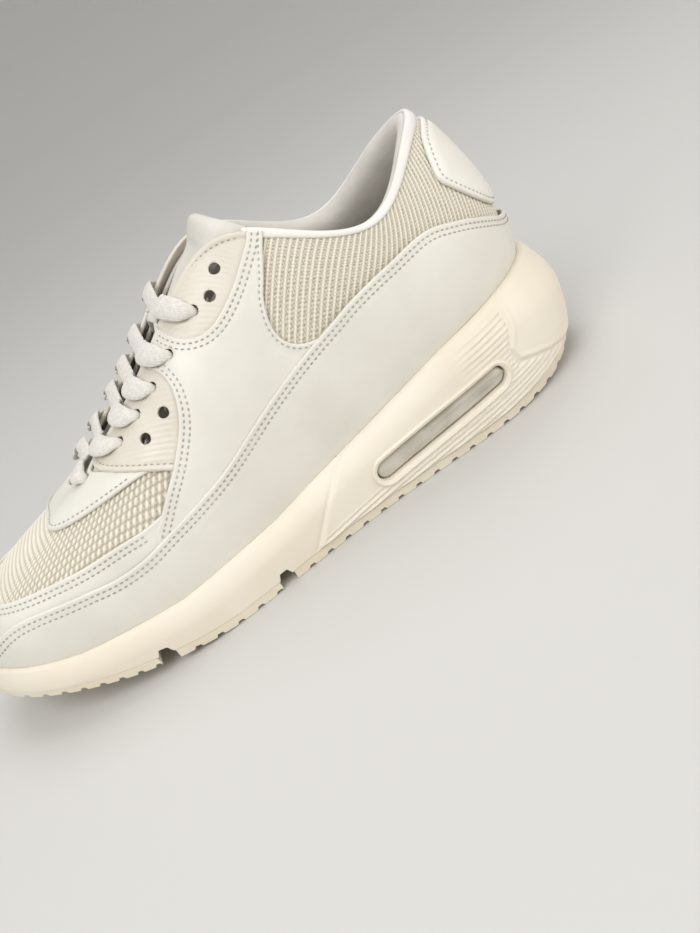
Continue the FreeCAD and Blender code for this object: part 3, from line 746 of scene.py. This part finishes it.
for side in SIDES:
    below = [(7.998, 0.0, 1)]
    panel("mudguard_cover_" + side, mirrored_line(GUARD_TOP + below, side), GUARD_IN, GUARD_OUT, LEATHER,
          replaces=("mudguard_" + side,), relief=groove_relief(SEAMS))
    for d in SEAMS:
        row_along([(0.868, 0.03)] + GUARD_TOP[1:-1] + [(7.95, 0.303)], side, -d, GUARD_OUT + 0.02)
    hidden = [(5.3, 0.47), (5.15, 0.42), (4.68, 0.30), (4.05, 0.20), (3.45, 0.18), (3.03, 0.18, 1)]
    outline = PANEL_FRONT + PANEL_ARM + PANEL_REAR + hidden
    panel("side_panel_cover_" + side, mirrored_line(outline, side), PANEL_IN, SIDE_OUT, LEATHER,
          replaces=("side_panel_" + side,), holes=mirrored_line(EYELETS[4:5], side),
          relief=groove_relief(SEAMS))
    for d in SEAMS:
        row_along(PANEL_FRONT[:-1], side, -d, SIDE_OUT + 0.02)
        row_along(PANEL_ARM[1:], side, -d, SIDE_OUT + 0.02)
    row_along(PANEL_REAR[:-1], side, -1.6, SIDE_OUT + 0.02)
    for stay, outline, holes, open_edge in (
            ("lower", LOWER_STAY, EYELETS[1:4] + SPARE, LOWER_STAY[8:] + [(1.97, 0.97), (2.5, 0.985), (3.10, 0.985)]),
            ("upper", UPPER_STAY, EYELETS[5:], [(3.38, 0.985), (4.0, 0.985), (4.74, 0.985)])):
        panel("%s_stay_%s" % (stay, side), mirrored_line(outline, side), PANEL_IN, PANEL_OUT, RIBBED,
              replaces=("eyestay_%s_%s" % (stay, side),), holes=mirrored_line(holes, side), fill=0.75, spacing=0.8,
              rings=(0.15, 0.4, 0.9, 1.5, 2.1, 2.7, 3.3), relief=stay_relief(open_edge))
    row_along(LOWER_STAY[8:] + [(2.02, 0.955)], side, -2.7, PANEL_OUT + 0.05)
    row_along([(3.55, 0.965), (4.10, 0.965), (4.66, 0.965)], side, -0.4, PANEL_OUT + 0.05)

rand_line = RAND_TOP[1:-1] + [(*RAND_TOP[-1], 1)]
rand_loop = RAND_TOP[:1] + rand_line + [(3.25, 0.0, 1), (-3.25, 0.0, 1)]
rand_loop += other_half(rand_line)
panel("toe_rand_cover", rand_loop, PANEL_IN, PANEL_OUT, LEATHER, replaces=("toe_rand",),
      relief=groove_relief(SEAMS))
for side in SIDES:
    for d in SEAMS:
        row_along([(0.02, 0.475)] + RAND_TOP[1:-1], side, -d, PANEL_OUT + 0.02)

THROAT_FRONT = [(0.0, 0.865), (0.5, 0.86), (0.95, 0.835), (1.3, 0.785), (1.62, 0.735), (1.95, 0.695), (2.3, 0.66),
                (2.65, 0.625), (2.95, 0.59), (3.2, 0.55, 1)]
THROAT_BACK = [(2.90, 0.665), (2.35, 0.815), (2.06, 0.90), (1.93, 0.985, 1)]
throat_loop = THROAT_FRONT + THROAT_BACK + other_half(THROAT_BACK) + other_half(THROAT_FRONT[1:])
panel("throat_cover", throat_loop, PANEL_IN, PANEL_OUT, LEATHER, replaces=("throat_overlay",),
      holes=EYELETS[:1] + other_half(EYELETS[:1]), relief=groove_relief((2.0,)))
for side in SIDES:
    row_along(THROAT_FRONT[:-1], side, 2.0, PANEL_OUT + 0.02)

TAB_HALF = [(8.0, 0.93), (7.45, 0.925), (7.18, 0.875), (6.98, 0.77), (7.03, 0.68), (7.2, 0.55), (7.43, 0.44),
            (7.7, 0.385), (8.0, 0.37)]
tab_loop = TAB_HALF + [(16 - t, v) for t, v in TAB_HALF[-2:0:-1]]


def tab_relief(at, places, dist):
    return 0.9 * np.clip(dist / 5, 0, 1) - 0.35 * np.exp(-((dist - 2.0) / 0.6) ** 2)


panel("heel_patch", tab_loop, PANEL_IN, PANEL_OUT + 0.3, TAB, replaces=("heel_tab",),
      relief=tab_relief, soft=0.9)
for side in SIDES:
    row_along(TAB_HALF, side, 2.0, PANEL_OUT + 0.45)

for side, rows in seam_rows.items():
    stitches("stitching_" + side, rows, THREAD)

# ---------------------------------------------------------------- collar, lining, insole
COLLAR_T = np.linspace(4.72, 11.28, 150)
upward = unit(slopes(COLLAR_T, np.full(len(COLLAR_T), 0.995))[1])


def collar_strip(name, section, material, replaces):
    """Sweeps a section of (v, depth, rise above the topline) round the collar."""
    columns = []
    ease = np.clip((COLLAR_T - 4.72) / 0.5, 0, 1) * np.clip((11.28 - COLLAR_T) / 0.5, 0, 1)
    ease = smooth(ease, 0, 1)
    for v, depth, rise in section:
        deep = np.where(depth < LINING_IN, LINING_IN + (depth - LINING_IN) * (0.25 + 0.75 * ease), depth)
        columns.append(skin(COLLAR_T, v, deep) + upward * rise)
    return add_mesh(name, np.stack(columns, 1), tube_faces(len(COLLAR_T), len(section)), material,
                    replaces=replaces)


collar_strip("collar_edge_binding",
             [(0.955, -0.5, 0), (0.955, 0.35, 0), (0.962, 0.7, 0), (0.975, 0.85, 0), (0.99, 0.7, 0), (1.0, 0.3, 0.5),
              (1.0, -0.7, 0.9), (1.0, -1.6, 0.9), (0.99, -1.4, 0)], BINDING, ("collar_binding",))
collar = collar_strip("collar_padding_roll",
                      [(0.985, -1.4, 0), (1.0, -1.6, 0.8), (1.0, -3.2, 1.4), (1.0, -5.2, 1.3), (1.0, -7.4, 0.2),
                       (0.975, -8.9, 0), (0.94, -9.7, 0), (0.88, -9.9, 0), (0.80, -9.2, 0), (0.73, -7.6, 0),
                       (0.67, -5.4, 0), (0.62, -3.6, 0), (0.60, -2.2, 0), (0.70, -1.9, 0), (0.88, -1.7, 0)],
                      LINING, ("collar_padding",))

LINING_T = np.linspace(0, 16, 240, endpoint=False)
LINING_V = np.linspace(0.0, 0.955, 40)
t, v = np.meshgrid(LINING_T, LINING_V, indexing="ij")
inner = skin(t, v, LINING_IN)
outer = skin(t, v, LINING_OUT)
sheet_points = np.concatenate([outer, inner[:, ::-1]], 1)
lining_faces = grid_faces(len(LINING_T), 2 * len(LINING_V), wrap_rows=True, wrap_columns=True)
lining_centres = sheet_points.reshape(-1, 3)[lining_faces].mean(1)
lining_faces = lining_faces[clear_of_holes(lining_centres, (LINING_IN, LINING_OUT), 0.6)]
add_mesh("lining_shell", sheet_points, lining_faces, LINING,
         replaces=("vamp_lining", "quarter_lining"))


def line_height(line, x):
    return np.interp(x, [p[0] for p in line], [p[1] for p in line])


FLOOR = [(-160, 28), (-141, 27), (-131, 25), (-103, 19), (-58, 16), (-11, 20), (37, 29), (82, 40), (120, 45),
         (141, 47), (165, 48)]
INSOLE_T = np.linspace(0, 16, 200, endpoint=False)
rim = skin(INSOLE_T, 0.0, LINING_IN - 0.9)
spine = rim.copy()
spine[:, 1] = rim[:, 1].mean()
shares = np.array([0.0, 0.15, 0.3, 0.5, 0.7, 0.85, 0.94, 0.98, 1.0])
layers = []
for s, h in zip(shares, (0, 0, 0.1, 0.4, 0.9, 1.5, 2.0, 1.9, 1.4)):
    ring = spine + (rim - spine) * s
    ring[:, 2] = line_height(FLOOR, ring[:, 0]) + 3.4 + h
    layers.append(ring)
skirt = rim.copy()
skirt[:, 2] = line_height(FLOOR, rim[:, 0]) + 1.2
layers.append(skirt)
insole_faces = grid_faces(len(INSOLE_T), len(layers), wrap_rows=True)[:, ::-1]
add_mesh("sock_liner", np.stack(layers, 1), insole_faces, INSOLE, replaces=("insole",))

# ---------------------------------------------------------------- sole foam
GROUND = [(-160, 27.5), (-148, 24.5), (-136, 20.8), (-120, 16.5), (-106, 12.3), (-90, 7.6), (-72, 3.6),
          (-58, 1.3), (-45, 0), (84, 0), (104, 0.4), (125, 2), (138, 5), (148, 9), (162, 15)]
WALL_TOP = [(-160, 35), (-148, 34), (-131, 32), (-103, 26), (-58, 22), (-11, 25), (37, 34), (82, 45), (120, 50),
            (147, 52), (165, 53)]
NOTCHES = (-76, -21)
RUBBER_THICK = 4.0
WINDOW = {"length": 68.0, "height": 9.0, "x": 67.0, "z": 19.0, "tilt": math.radians(6)}
SLOT_HALF = (WINDOW["length"] - WINDOW["height"]) / 2


def rubber_at(x):
    return RUBBER_THICK * (0.55 + 0.45 * np.clip((x + 150) / 70, 0, 1))


def window_distance(x, z):
    """Distance outside the slot of the air window, with its place along and across."""
    px = x - WINDOW["x"]
    pz = z - WINDOW["z"]
    p = px * math.cos(WINDOW["tilt"]) + pz * math.sin(WINDOW["tilt"])
    q = -px * math.sin(WINDOW["tilt"]) + pz * math.cos(WINDOW["tilt"])
    dist = np.hypot(np.maximum(np.abs(p) - SLOT_HALF, 0), q) - WINDOW["height"] / 2
    return dist, p, q


def sole_detail(x, z, z_high):
    """Outward relief of the sole wall in mm."""
    dist, p, q = window_distance(x, z)
    # the slanting step in front of the ribbed heel part
    step_x = np.interp(z, (4, 20, 28, 33), (-4, 10.3, 19.5, 27))
    behind = smooth(x, step_x - 0.7, step_x + 0.7)
    out = 1.1 * behind - 0.5 * np.exp(-((x - step_x + 1.4) / 0.9) ** 2)
    # the border of the smooth heel cup runs down, turns a corner and goes off to the rear
    cup_x = np.interp(z, (22.5, 29, 37, 43, 50), (111.0, 109.0, 113.0, 114.5, 116.0))
    cup_z = np.interp(x, (110, 120, 126, 140), (23.5, 19.5, 17.0, 13.0))
    into = np.minimum(x - cup_x, z - cup_z)
    in_cup = smooth(into, -0.6, 0.8)
    border = np.exp(-((into + 0.5) / 1.0) ** 2) - 0.6 * np.exp(-((into + 2.6) / 0.8) ** 2)
    # straight ribs lie along the window, below it and behind its upper end
    clear = smooth(dist, 3.4, 4.4)
    below = smooth(-q, 3.5, 6.0) * smooth(x, step_x + 1.5, step_x + 4.0)
    rear = smooth(p, 14, 30) * smooth(q, -5.0, -3.0) * smooth(z_high - z, 1.5, 5.0)
    zone = np.maximum(below, rear) * clear * (1 - in_cup) * smooth(-into, 2.6, 3.6)
    ribs = np.clip(np.cos(2 * np.pi * q / 2.3), -0.7, 0.7)
    return out + zone * 0.62 * ribs + in_cup * 0.5 + 0.8 * border * smooth(x, 98, 105)


SOLE_T = np.concatenate([np.linspace(0, 8, 620, endpoint=False), np.linspace(8, 16, 620, endpoint=False)])
WALL_ROWS = np.linspace(0, 1, 66)
low_ring = sole_ring(SOLE_T, WALL - 0.8, False)
mid_ring = sole_ring(SOLE_T, WALL, True)
top_ring = sole_ring(SOLE_T, WALL, False)
LEVELS = (-6.0, 22.0, 64.0)


def through_levels(low, mid, top, z):
    """Parabola in z through values that belong to the three levels."""
    a, b, c = LEVELS
    wa = (z - b) * (z - c) / ((a - b) * (a - c))
    wb = (z - a) * (z - c) / ((b - a) * (b - c))
    wc = (z - a) * (z - b) / ((c - a) * (c - b))
    return low * wa + mid * wb + top * wc


def wall_plan(z):
    """Plan position of the wall at height z, through the three rings."""
    return through_levels(low_ring[:, :2], mid_ring[:, :2], top_ring[:, :2], z[:, None])


def notch_lift(x):
    lift = np.zeros_like(x)
    for centre in NOTCHES:
        lift = np.maximum(lift, 7.0 * (1 - smooth(np.abs(x - centre), 1.6, 4.4)))
    return lift


def leather_line(height):
    """Plan position of the outer leather face at the given height on every station."""
    v_try = np.linspace(0, 0.75, 61)
    t_grid, v_grid = np.meshgrid(SOLE_T, v_try, indexing="ij")
    face = skin(t_grid, v_grid, GUARD_OUT)
    return np.array([[np.interp(want, row[:, 2], row[:, k]) for k in (0, 1)] for want, row in zip(height, face)])


x_ref = mid_ring[:, 0]
ground = line_height(GROUND, x_ref)
foam_low = np.maximum(ground + rubber_at(x_ref) + 0.05, ground + notch_lift(x_ref))
foam_high = line_height(WALL_TOP, x_ref)
outward = unit(np.stack([np.gradient(mid_ring[:, 1]), -np.gradient(mid_ring[:, 0])], -1))
contact = leather_line(foam_high)
lip = contact + outward * 1.5
lean_from = 10.0 + 13.0 * heel_share(SOLE_T)
columns = []
for s in WALL_ROWS:
    z = foam_low + (foam_high - foam_low) * s
    plan = wall_plan(z)
    lean = np.clip((z - foam_high + lean_from) / lean_from, 0, 1)[:, None] ** 2
    plan = plan * (1 - lean) + lip * lean
    rounding = -0.7 * (1 - smooth(foam_high - z, 0, 0.9))
    detail = sole_detail(x_ref, z, foam_high) * smooth(z - foam_low, 0, 1.2)
    plan = plan + outward * (detail + rounding)[:, None]
    columns.append(np.column_stack([plan, z]))
for inset, drop in ((0.45, 0.0), (0.0, 0.05), (-0.6, 1.2), (-1.2, 6.0)):
    plan = contact + outward * inset
    columns.append(np.column_stack([plan, foam_high - drop]))
tuck = wall_plan(foam_low) - outward * 7.0
columns.insert(0, np.column_stack([tuck, foam_low]))
centre_line = columns[0].copy()
centre_line[:, 1] = 0.0
columns.insert(0, centre_line)
floor_ring = columns[-1].copy()
floor_ring[:, :2] -= outward * 4.0
columns.append(floor_ring)
points = np.stack(columns, 1)
rows, cols = points.shape[:2]
sole_faces = grid_faces(rows, cols, wrap_rows=True)
flat = points.reshape(-1, 3)
centres = flat[sole_faces].mean(1)
gap = window_distance(centres[:, 0], centres[:, 2])[0]
row_index = sole_faces[:, 0] % cols
through = (gap < 1.3) & (row_index > 1) & (row_index < cols - 5)
add_mesh("sole_foam_body", flat, sole_faces[~through][:, ::-1], FOAM, replaces=("midsole",))

# ---- moulded rim of each window and the bag behind it
SLOT_COUNT = 120
BAG_ROWS = 25
ANGLE = np.linspace(0, 2 * np.pi, SLOT_COUNT, endpoint=False)


def slot_ring(grow):
    radius = WINDOW["height"] / 2 + grow
    p = radius * np.cos(ANGLE) + SLOT_HALF * np.clip(np.cos(ANGLE) * 6, -1, 1)
    q = radius * np.sin(ANGLE)
    x = WINDOW["x"] + p * math.cos(WINDOW["tilt"]) - q * math.sin(WINDOW["tilt"])
    z = WINDOW["z"] + p * math.sin(WINDOW["tilt"]) + q * math.cos(WINDOW["tilt"])
    return x, z


def wall_y(x, z, side):
    """Outward y of the sole wall at side-view places."""
    picks = SOLE_T < 8 if side == "lateral" else SOLE_T > 8
    order = np.argsort(mid_ring[picks, 0])
    rings = [ring[picks][order] for ring in (low_ring, mid_ring, top_ring)]
    return through_levels(*[np.interp(x, ring[:, 0], ring[:, 1]) for ring in rings], z)


for side in SIDES:
    sign = -1.0 if side == "lateral" else 1.0
    columns = []
    for grow, out in ((3.1, -1.5), (3.0, 1.0), (2.7, 1.8), (2.2, 2.1), (1.7, 1.9), (1.35, 1.5), (1.05, 1.5),
                      (0.75, 1.3), (0.55, 0.6), (0.45, -2.0), (0.45, -7.0)):
        x, z = slot_ring(grow)
        y = wall_y(x, z, side) + sign * out
        columns.append(np.column_stack([x, y, z]))
    faces = grid_faces(SLOT_COUNT, len(columns), wrap_rows=True)
    if side == "medial":
        faces = faces[:, ::-1]
    add_mesh("window_rim_moulding_" + side, np.stack(columns, 1), faces, FOAM,
             replaces=("window_rim_" + side,))

bag_rows = []
for share in np.linspace(0, 1, BAG_ROWS):
    x, z = slot_ring(0.3 - 0.5 * (abs(share * 2 - 1) ** 8))
    y_low = wall_y(x, z, "lateral") + 1.9
    y_high = wall_y(x, z, "medial") - 1.9
    bag_rows.append(np.column_stack([x, y_low + (y_high - y_low) * share, z]))
points = np.stack(bag_rows, 0)
faces = [tuple(f) for f in grid_faces(BAG_ROWS, SLOT_COUNT, wrap_columns=True)]
cap_points = []
for row, sign in ((0, -1.0), (BAG_ROWS - 1, 1.0)):
    ring = points[row]
    prev = [row * SLOT_COUNT + i for i in range(SLOT_COUNT)]
    for shrink, bulge in ((0.9, 0.8), (0.68, 1.4), (0.35, 1.7)):
        scaled = ring.copy()
        line_z = WINDOW["z"] + (ring[:, 0] - WINDOW["x"]) * math.tan(WINDOW["tilt"])
        scaled[:, 2] = line_z + (ring[:, 2] - line_z) * shrink
        scaled[:, 1] += sign * bulge
        start = BAG_ROWS * SLOT_COUNT + len(cap_points)
        cap_points.extend(scaled)
        now = [start + i for i in range(SLOT_COUNT)]
        for i in range(SLOT_COUNT):
            j = (i + 1) % SLOT_COUNT
            quad = (prev[i], prev[j], now[j], now[i])
            faces.append(quad if sign < 0 else quad[::-1])
        prev = now
    faces.append(tuple(prev) if sign < 0 else tuple(reversed(prev)))
add_mesh("air_cushion", np.concatenate([points.reshape(-1, 3), np.array(cap_points)]), faces, AIR,
         replaces=("air_unit",))

for name, material in (("outsole_toe", RUBBER), ("outsole_ball", RUBBER), ("outsole_heel", RUBBER),
                       ("lasting_board", INSOLE)):
    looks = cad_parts[name].data.materials
    looks.clear()
    looks.append(material)

# ---------------------------------------------------------------- tongue
LACE_DEEP = LINING_IN - 0.25 - 1.4
TONGUE_OUT = LACE_DEEP - 0.5
TONGUE_THICK = 7.0
TONGUE_ROWS = ((1.35, 0.93, -1.0), (1.8, 0.90, 0.5), (2.3, 0.87, 2.0), (2.8, 0.84, 3.0), (3.3, 0.82, 4.0),
               (3.7, 0.82, 4.5), (4.0, 0.84, 5.0))
# the top edge bends back round the ankle: half widths, and how far each point lies behind the middle
TOP_EDGE = ((-22, 16.0), (-19.5, 12.5), (-14, 6.3), (0, 0.0), (14, 6.3), (19, 12.0), (21, 15.0))
TOP_MIDDLE = (27.6, 136.3)


def tongue_lines(sink):
    rows = []
    for t0, reach, crown in TONGUE_ROWS:
        v = reach + (1 - reach) * np.array([0.0, 0.5, 1.0])
        near = skin(t0, v, TONGUE_OUT - sink)
        far = skin(16 - t0, v[::-1], TONGUE_OUT - sink)
        middle = (near[-1] + far[0]) / 2 + np.array([0, 0, crown])
        rows.append(np.vstack([near, middle, far]))
    last = rows[-1]
    narrow = 1.0 - 0.2 * sink / TONGUE_THICK
    back = np.array([drop for y, drop in TOP_EDGE]) + sink
    edge = np.column_stack([TOP_MIDDLE[0] + 0.71 * back, [y * narrow for y, drop in TOP_EDGE],
                            TOP_MIDDLE[1] - 0.70 * back])
    for share in (0.35, 0.7, 1.0):
        rows.append(last + (edge - last) * share)
    return np.array(rows)


def refine(rows, count):
    """Smooth line through rows, resampled to count rows."""
    n = len(rows)
    at = np.linspace(0, n - 1, count)
    i = np.clip(np.floor(at).astype(int), 0, n - 2)
    wide = (...,) + (None,) * (rows.ndim - 1)
    p1, p2 = rows[i], rows[i + 1]
    p0 = np.where((i > 0)[wide], rows[np.maximum(i - 1, 0)], 2 * p1 - p2)
    p3 = np.where((i < n - 2)[wide], rows[np.minimum(i + 2, n - 1)], 2 * p2 - p1)
    return spline_step(p0, p1, p2, p3, (at - i)[wide])


TL, TW = 90, 41
upper_face = refine(np.swapaxes(refine(np.swapaxes(tongue_lines(0.0), 0, 1), TW), 0, 1), TL)
lower_face = refine(np.swapaxes(refine(np.swapaxes(tongue_lines(TONGUE_THICK), 0, 1), TW), 0, 1), TL)
share_w = np.linspace(-1, 1, TW)
share_l = np.linspace(0, 1, TL)
puff = (1 - np.abs(share_w[None]) ** 5) * (1 - np.abs(2 * share_l[:, None] - 1) ** 14)
channel = np.exp(-((np.abs(share_w[None]) - 0.42) / 0.05) ** 2) * 0.9
middle_face = (upper_face + lower_face) / 2
top = middle_face + (upper_face - middle_face) * (np.clip(puff, 0.12, 1) * (1 - 0.22 * channel))[..., None]
bottom = middle_face + (lower_face - middle_face) * np.clip(puff, 0.12, 1)[..., None]
points = np.concatenate([top, bottom[:, ::-1]], 1)
tongue = add_mesh("tongue_pad", points, tube_faces(TL, 2 * TW), TONGUE, body=None,
                  replaces=("tongue",))
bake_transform(tongue)

# ---------------------------------------------------------------- laces
LACE_WIDE = 9.2
LACE_THICK = 2.0
SECTION = 20
BAND_ROWS = 60


def band(path, normals, widths, thicks):
    """A flat woven band along a path, with rounded edges."""
    path = refine(np.array(path), BAND_ROWS)
    normals = unit(refine(np.array(normals), BAND_ROWS))
    widths = refine(np.array(widths)[:, None], BAND_ROWS)[:, 0]
    thicks = refine(np.array(thicks)[:, None], BAND_ROWS)[:, 0]
    tangent = unit(np.gradient(path, axis=0))
    across = unit(np.cross(normals, tangent))
    up = np.cross(tangent, across)
    angle = np.linspace(0, 2 * np.pi, SECTION, endpoint=False)
    cx = np.sign(np.cos(angle)) * np.abs(np.cos(angle)) ** 0.75
    cz = np.sign(np.sin(angle)) * np.abs(np.sin(angle)) ** 0.8
    run = np.concatenate([[0], np.cumsum(np.linalg.norm(np.diff(path, axis=0), axis=1))])
    points = []
    uv = []
    for i in range(BAND_ROWS):
        crown = 0.5 * (1 - cx ** 2)
        ring = path[i] + across[i] * (cx * widths[i] / 2)[:, None] + up[i] * (cz * thicks[i] / 2 + crown)[:, None]
        points.append(ring)
        uv.append(np.column_stack([np.full(SECTION, run[i]), cx * widths[i] / 2]))
    return np.concatenate(points), tube_faces(BAND_ROWS, SECTION), np.concatenate(uv)


def surface_normal(t, v):
    return frame_at(np.array([t]), np.array([v]))[2][0]


# where the strand from each laced hole passes over the edge of the throat
EDGE_AT = (1.57, 2.07, 2.52, 2.82, 3.12, 3.5)
spine_x = upper_face[:, TW // 2, 0]
spine_z = upper_face[:, TW // 2, 2]


OVER = ((0.0, -2.4, 3.6, 2.0), (0.02, 1.9, 4.6, 2.2), (0.2, 3.3, 8.0, 2.2), (0.5, 4.0, LACE_WIDE, LACE_THICK),
        (0.8, 4.2, LACE_WIDE, LACE_THICK), (1.0, 3.5, LACE_WIDE, LACE_THICK))
UNDER = ((1.0, LINING_IN - 0.4, 7.4, 1.4), (0.5, LINING_IN - 1.0, 7.0, 1.4), (0.1, LINING_IN - 1.0, 6.0, 1.4))


def stops_from_hole(k, t_end, v_end, bend, side, rows):
    """Stops between hole k and the throat: (point, normal, width, thickness)."""
    t0, v0 = EYELETS[k]
    stops = []
    for share, depth, wide, thick in rows:
        t = on_side(t0 + (t_end - t0) * share ** bend, side)
        v = v0 + (v_end - v0) * share
        stops.append((skin(t, v, depth), surface_normal(t, v), wide, thick))
    return stops


def over_stops(k, side):
    """From a hole up over the eyestay and its edge."""
    return stops_from_hole(k, EDGE_AT[k], 0.995, 0.8, side, OVER)


def under_stops(k, t_cross, side):
    """From the throat in under the opposite eyestay to its hole."""
    return stops_from_hole(k, t_cross, 0.985, 1, side, UNDER)


def strand(name, stops_a, stops_b, lift, replaces=()):
    """Joins two ends across the throat, riding on the tongue."""
    a = stops_a[-1][0]
    b = stops_b[-1][0]
    middle = []
    for share in (0.3, 0.68):
        place = a + (b - a) * share
        low = np.interp(place[0], spine_x, spine_z) + 1.0 + lift
        place[2] = max(place[2] * 0.5 + 0.5 * low, low)
        middle.append((place, unit(stops_a[-1][1] * (1 - share) + stops_b[-1][1] * share), 8.0, 1.6))
    stops = stops_a + middle + stops_b[::-1]
    points, faces, uv = band(*zip(*stops))
    add_mesh(name, points, faces, LACE, replaces=replaces, uv=uv)


strand("lace_first_row", over_stops(0, "lateral"), over_stops(0, "medial"), 0.6, ("lace_row_1",))
for k in range(1, LACED):
    cross = EDGE_AT[k] - 0.1
    strand("lace_over_lateral_%d" % (k + 1), over_stops(k, "lateral"), under_stops(k - 1, cross, "medial"), 1.6,
           ("lace_row_%d" % (k + 1),))
    strand("lace_over_medial_%d" % (k + 1), over_stops(k, "medial"), under_stops(k - 1, cross, "lateral"), 0.0)

# ---------------------------------------------------------------- room, light and camera
floor_mat = new_material("studio_paper", (0.60, 0.59, 0.57), 0.8)[0]
# a wide sheet of paper that rises into a backdrop far from the shoe
SWEEP = [(0.0, 0.0), (1.0, 0.0), (1.5, 0.02), (2.0, 0.09), (2.5, 0.25), (2.9, 0.5), (3.25, 0.9), (3.5, 1.5),
         (3.6, 2.6)]
around = np.linspace(0, 2 * np.pi, 96, endpoint=False)
paper_points = [(r * math.cos(a), r * math.sin(a), z - 0.0002) for r, z in SWEEP[1:] for a in around]
paper_faces = [tuple(int(i) for i in f) for f in grid_faces(len(SWEEP) - 1, 96, wrap_columns=True)]
paper_faces.append(tuple(range(96)))
paper_mesh = bpy.data.meshes.new("studio_paper")
paper_mesh.from_pydata(paper_points, [], paper_faces)
paper_mesh.polygons.foreach_set("use_smooth", [True] * len(paper_mesh.polygons))
paper_mesh.materials.append(floor_mat)
paper = bpy.data.objects.new("studio_paper", paper_mesh)
bpy.context.scene.collection.objects.link(paper)

world = bpy.data.worlds.new("studio")
bpy.context.scene.world = world
world.use_nodes = True
world.node_tree.nodes["Background"].inputs["Color"].default_value = (0.80, 0.80, 0.79, 1)
world.node_tree.nodes["Background"].inputs["Strength"].default_value = 0.62


def area_light(name, place, target, size, power, color=(1, 1, 1)):
    data = bpy.data.lights.new(name, "AREA")
    data.size = size
    data.energy = power
    data.color = color
    obj = bpy.data.objects.new(name, data)
    bpy.context.scene.collection.objects.link(obj)
    obj.location = place
    direction = Vector(target) - Vector(place)
    obj.rotation_euler = direction.to_track_quat("-Z", "Y").to_euler()


area_light("key", (-0.55, -0.75, 1.05), (0, 0, 0.06), 0.9, 11.0)
area_light("fill", (1.0, -0.7, 0.55), (0.05, 0, 0.06), 1.1, 7.5, (1.0, 0.98, 0.95))
area_light("back", (0.3, 1.0, 2.6), (0, 0, 0.08), 1.8, 22.0)

# The camera looks down on the outer side from near the middle of the shoe, rolled so that the
# heel points up to the right.
CAMERA_AT = np.array([-8.7, -330.1, 171.7]) - CENTRE
AZIMUTH = math.radians(-6.72)
ELEVATION = math.radians(26.92)
ROLL = math.radians(-31.25)
FOCAL_SHARE = 795.9 / 933.0
camera_data = bpy.data.cameras.new("camera")
camera_data.sensor_fit = "VERTICAL"
camera_data.sensor_height = 24.0
camera_data.lens = 24.0 * FOCAL_SHARE
camera_data.clip_start = 0.01
camera = bpy.data.objects.new("camera", camera_data)
bpy.context.scene.collection.objects.link(camera)
back = Vector((math.sin(AZIMUTH) * math.cos(ELEVATION), -math.cos(AZIMUTH) * math.cos(ELEVATION),
               math.sin(ELEVATION)))
right = Vector((0, 0, 1)).cross(back).normalized()
upright = back.cross(right)
turn = Matrix.Rotation(ROLL, 3, back)
axes = Matrix((turn @ right, turn @ upright, back)).transposed()
camera.matrix_world = Matrix.Translation(Vector(CAMERA_AT * MM)) @ axes.to_4x4()
bpy.context.scene.camera = camera
bpy.context.scene.view_settings.view_transform = "Standard"
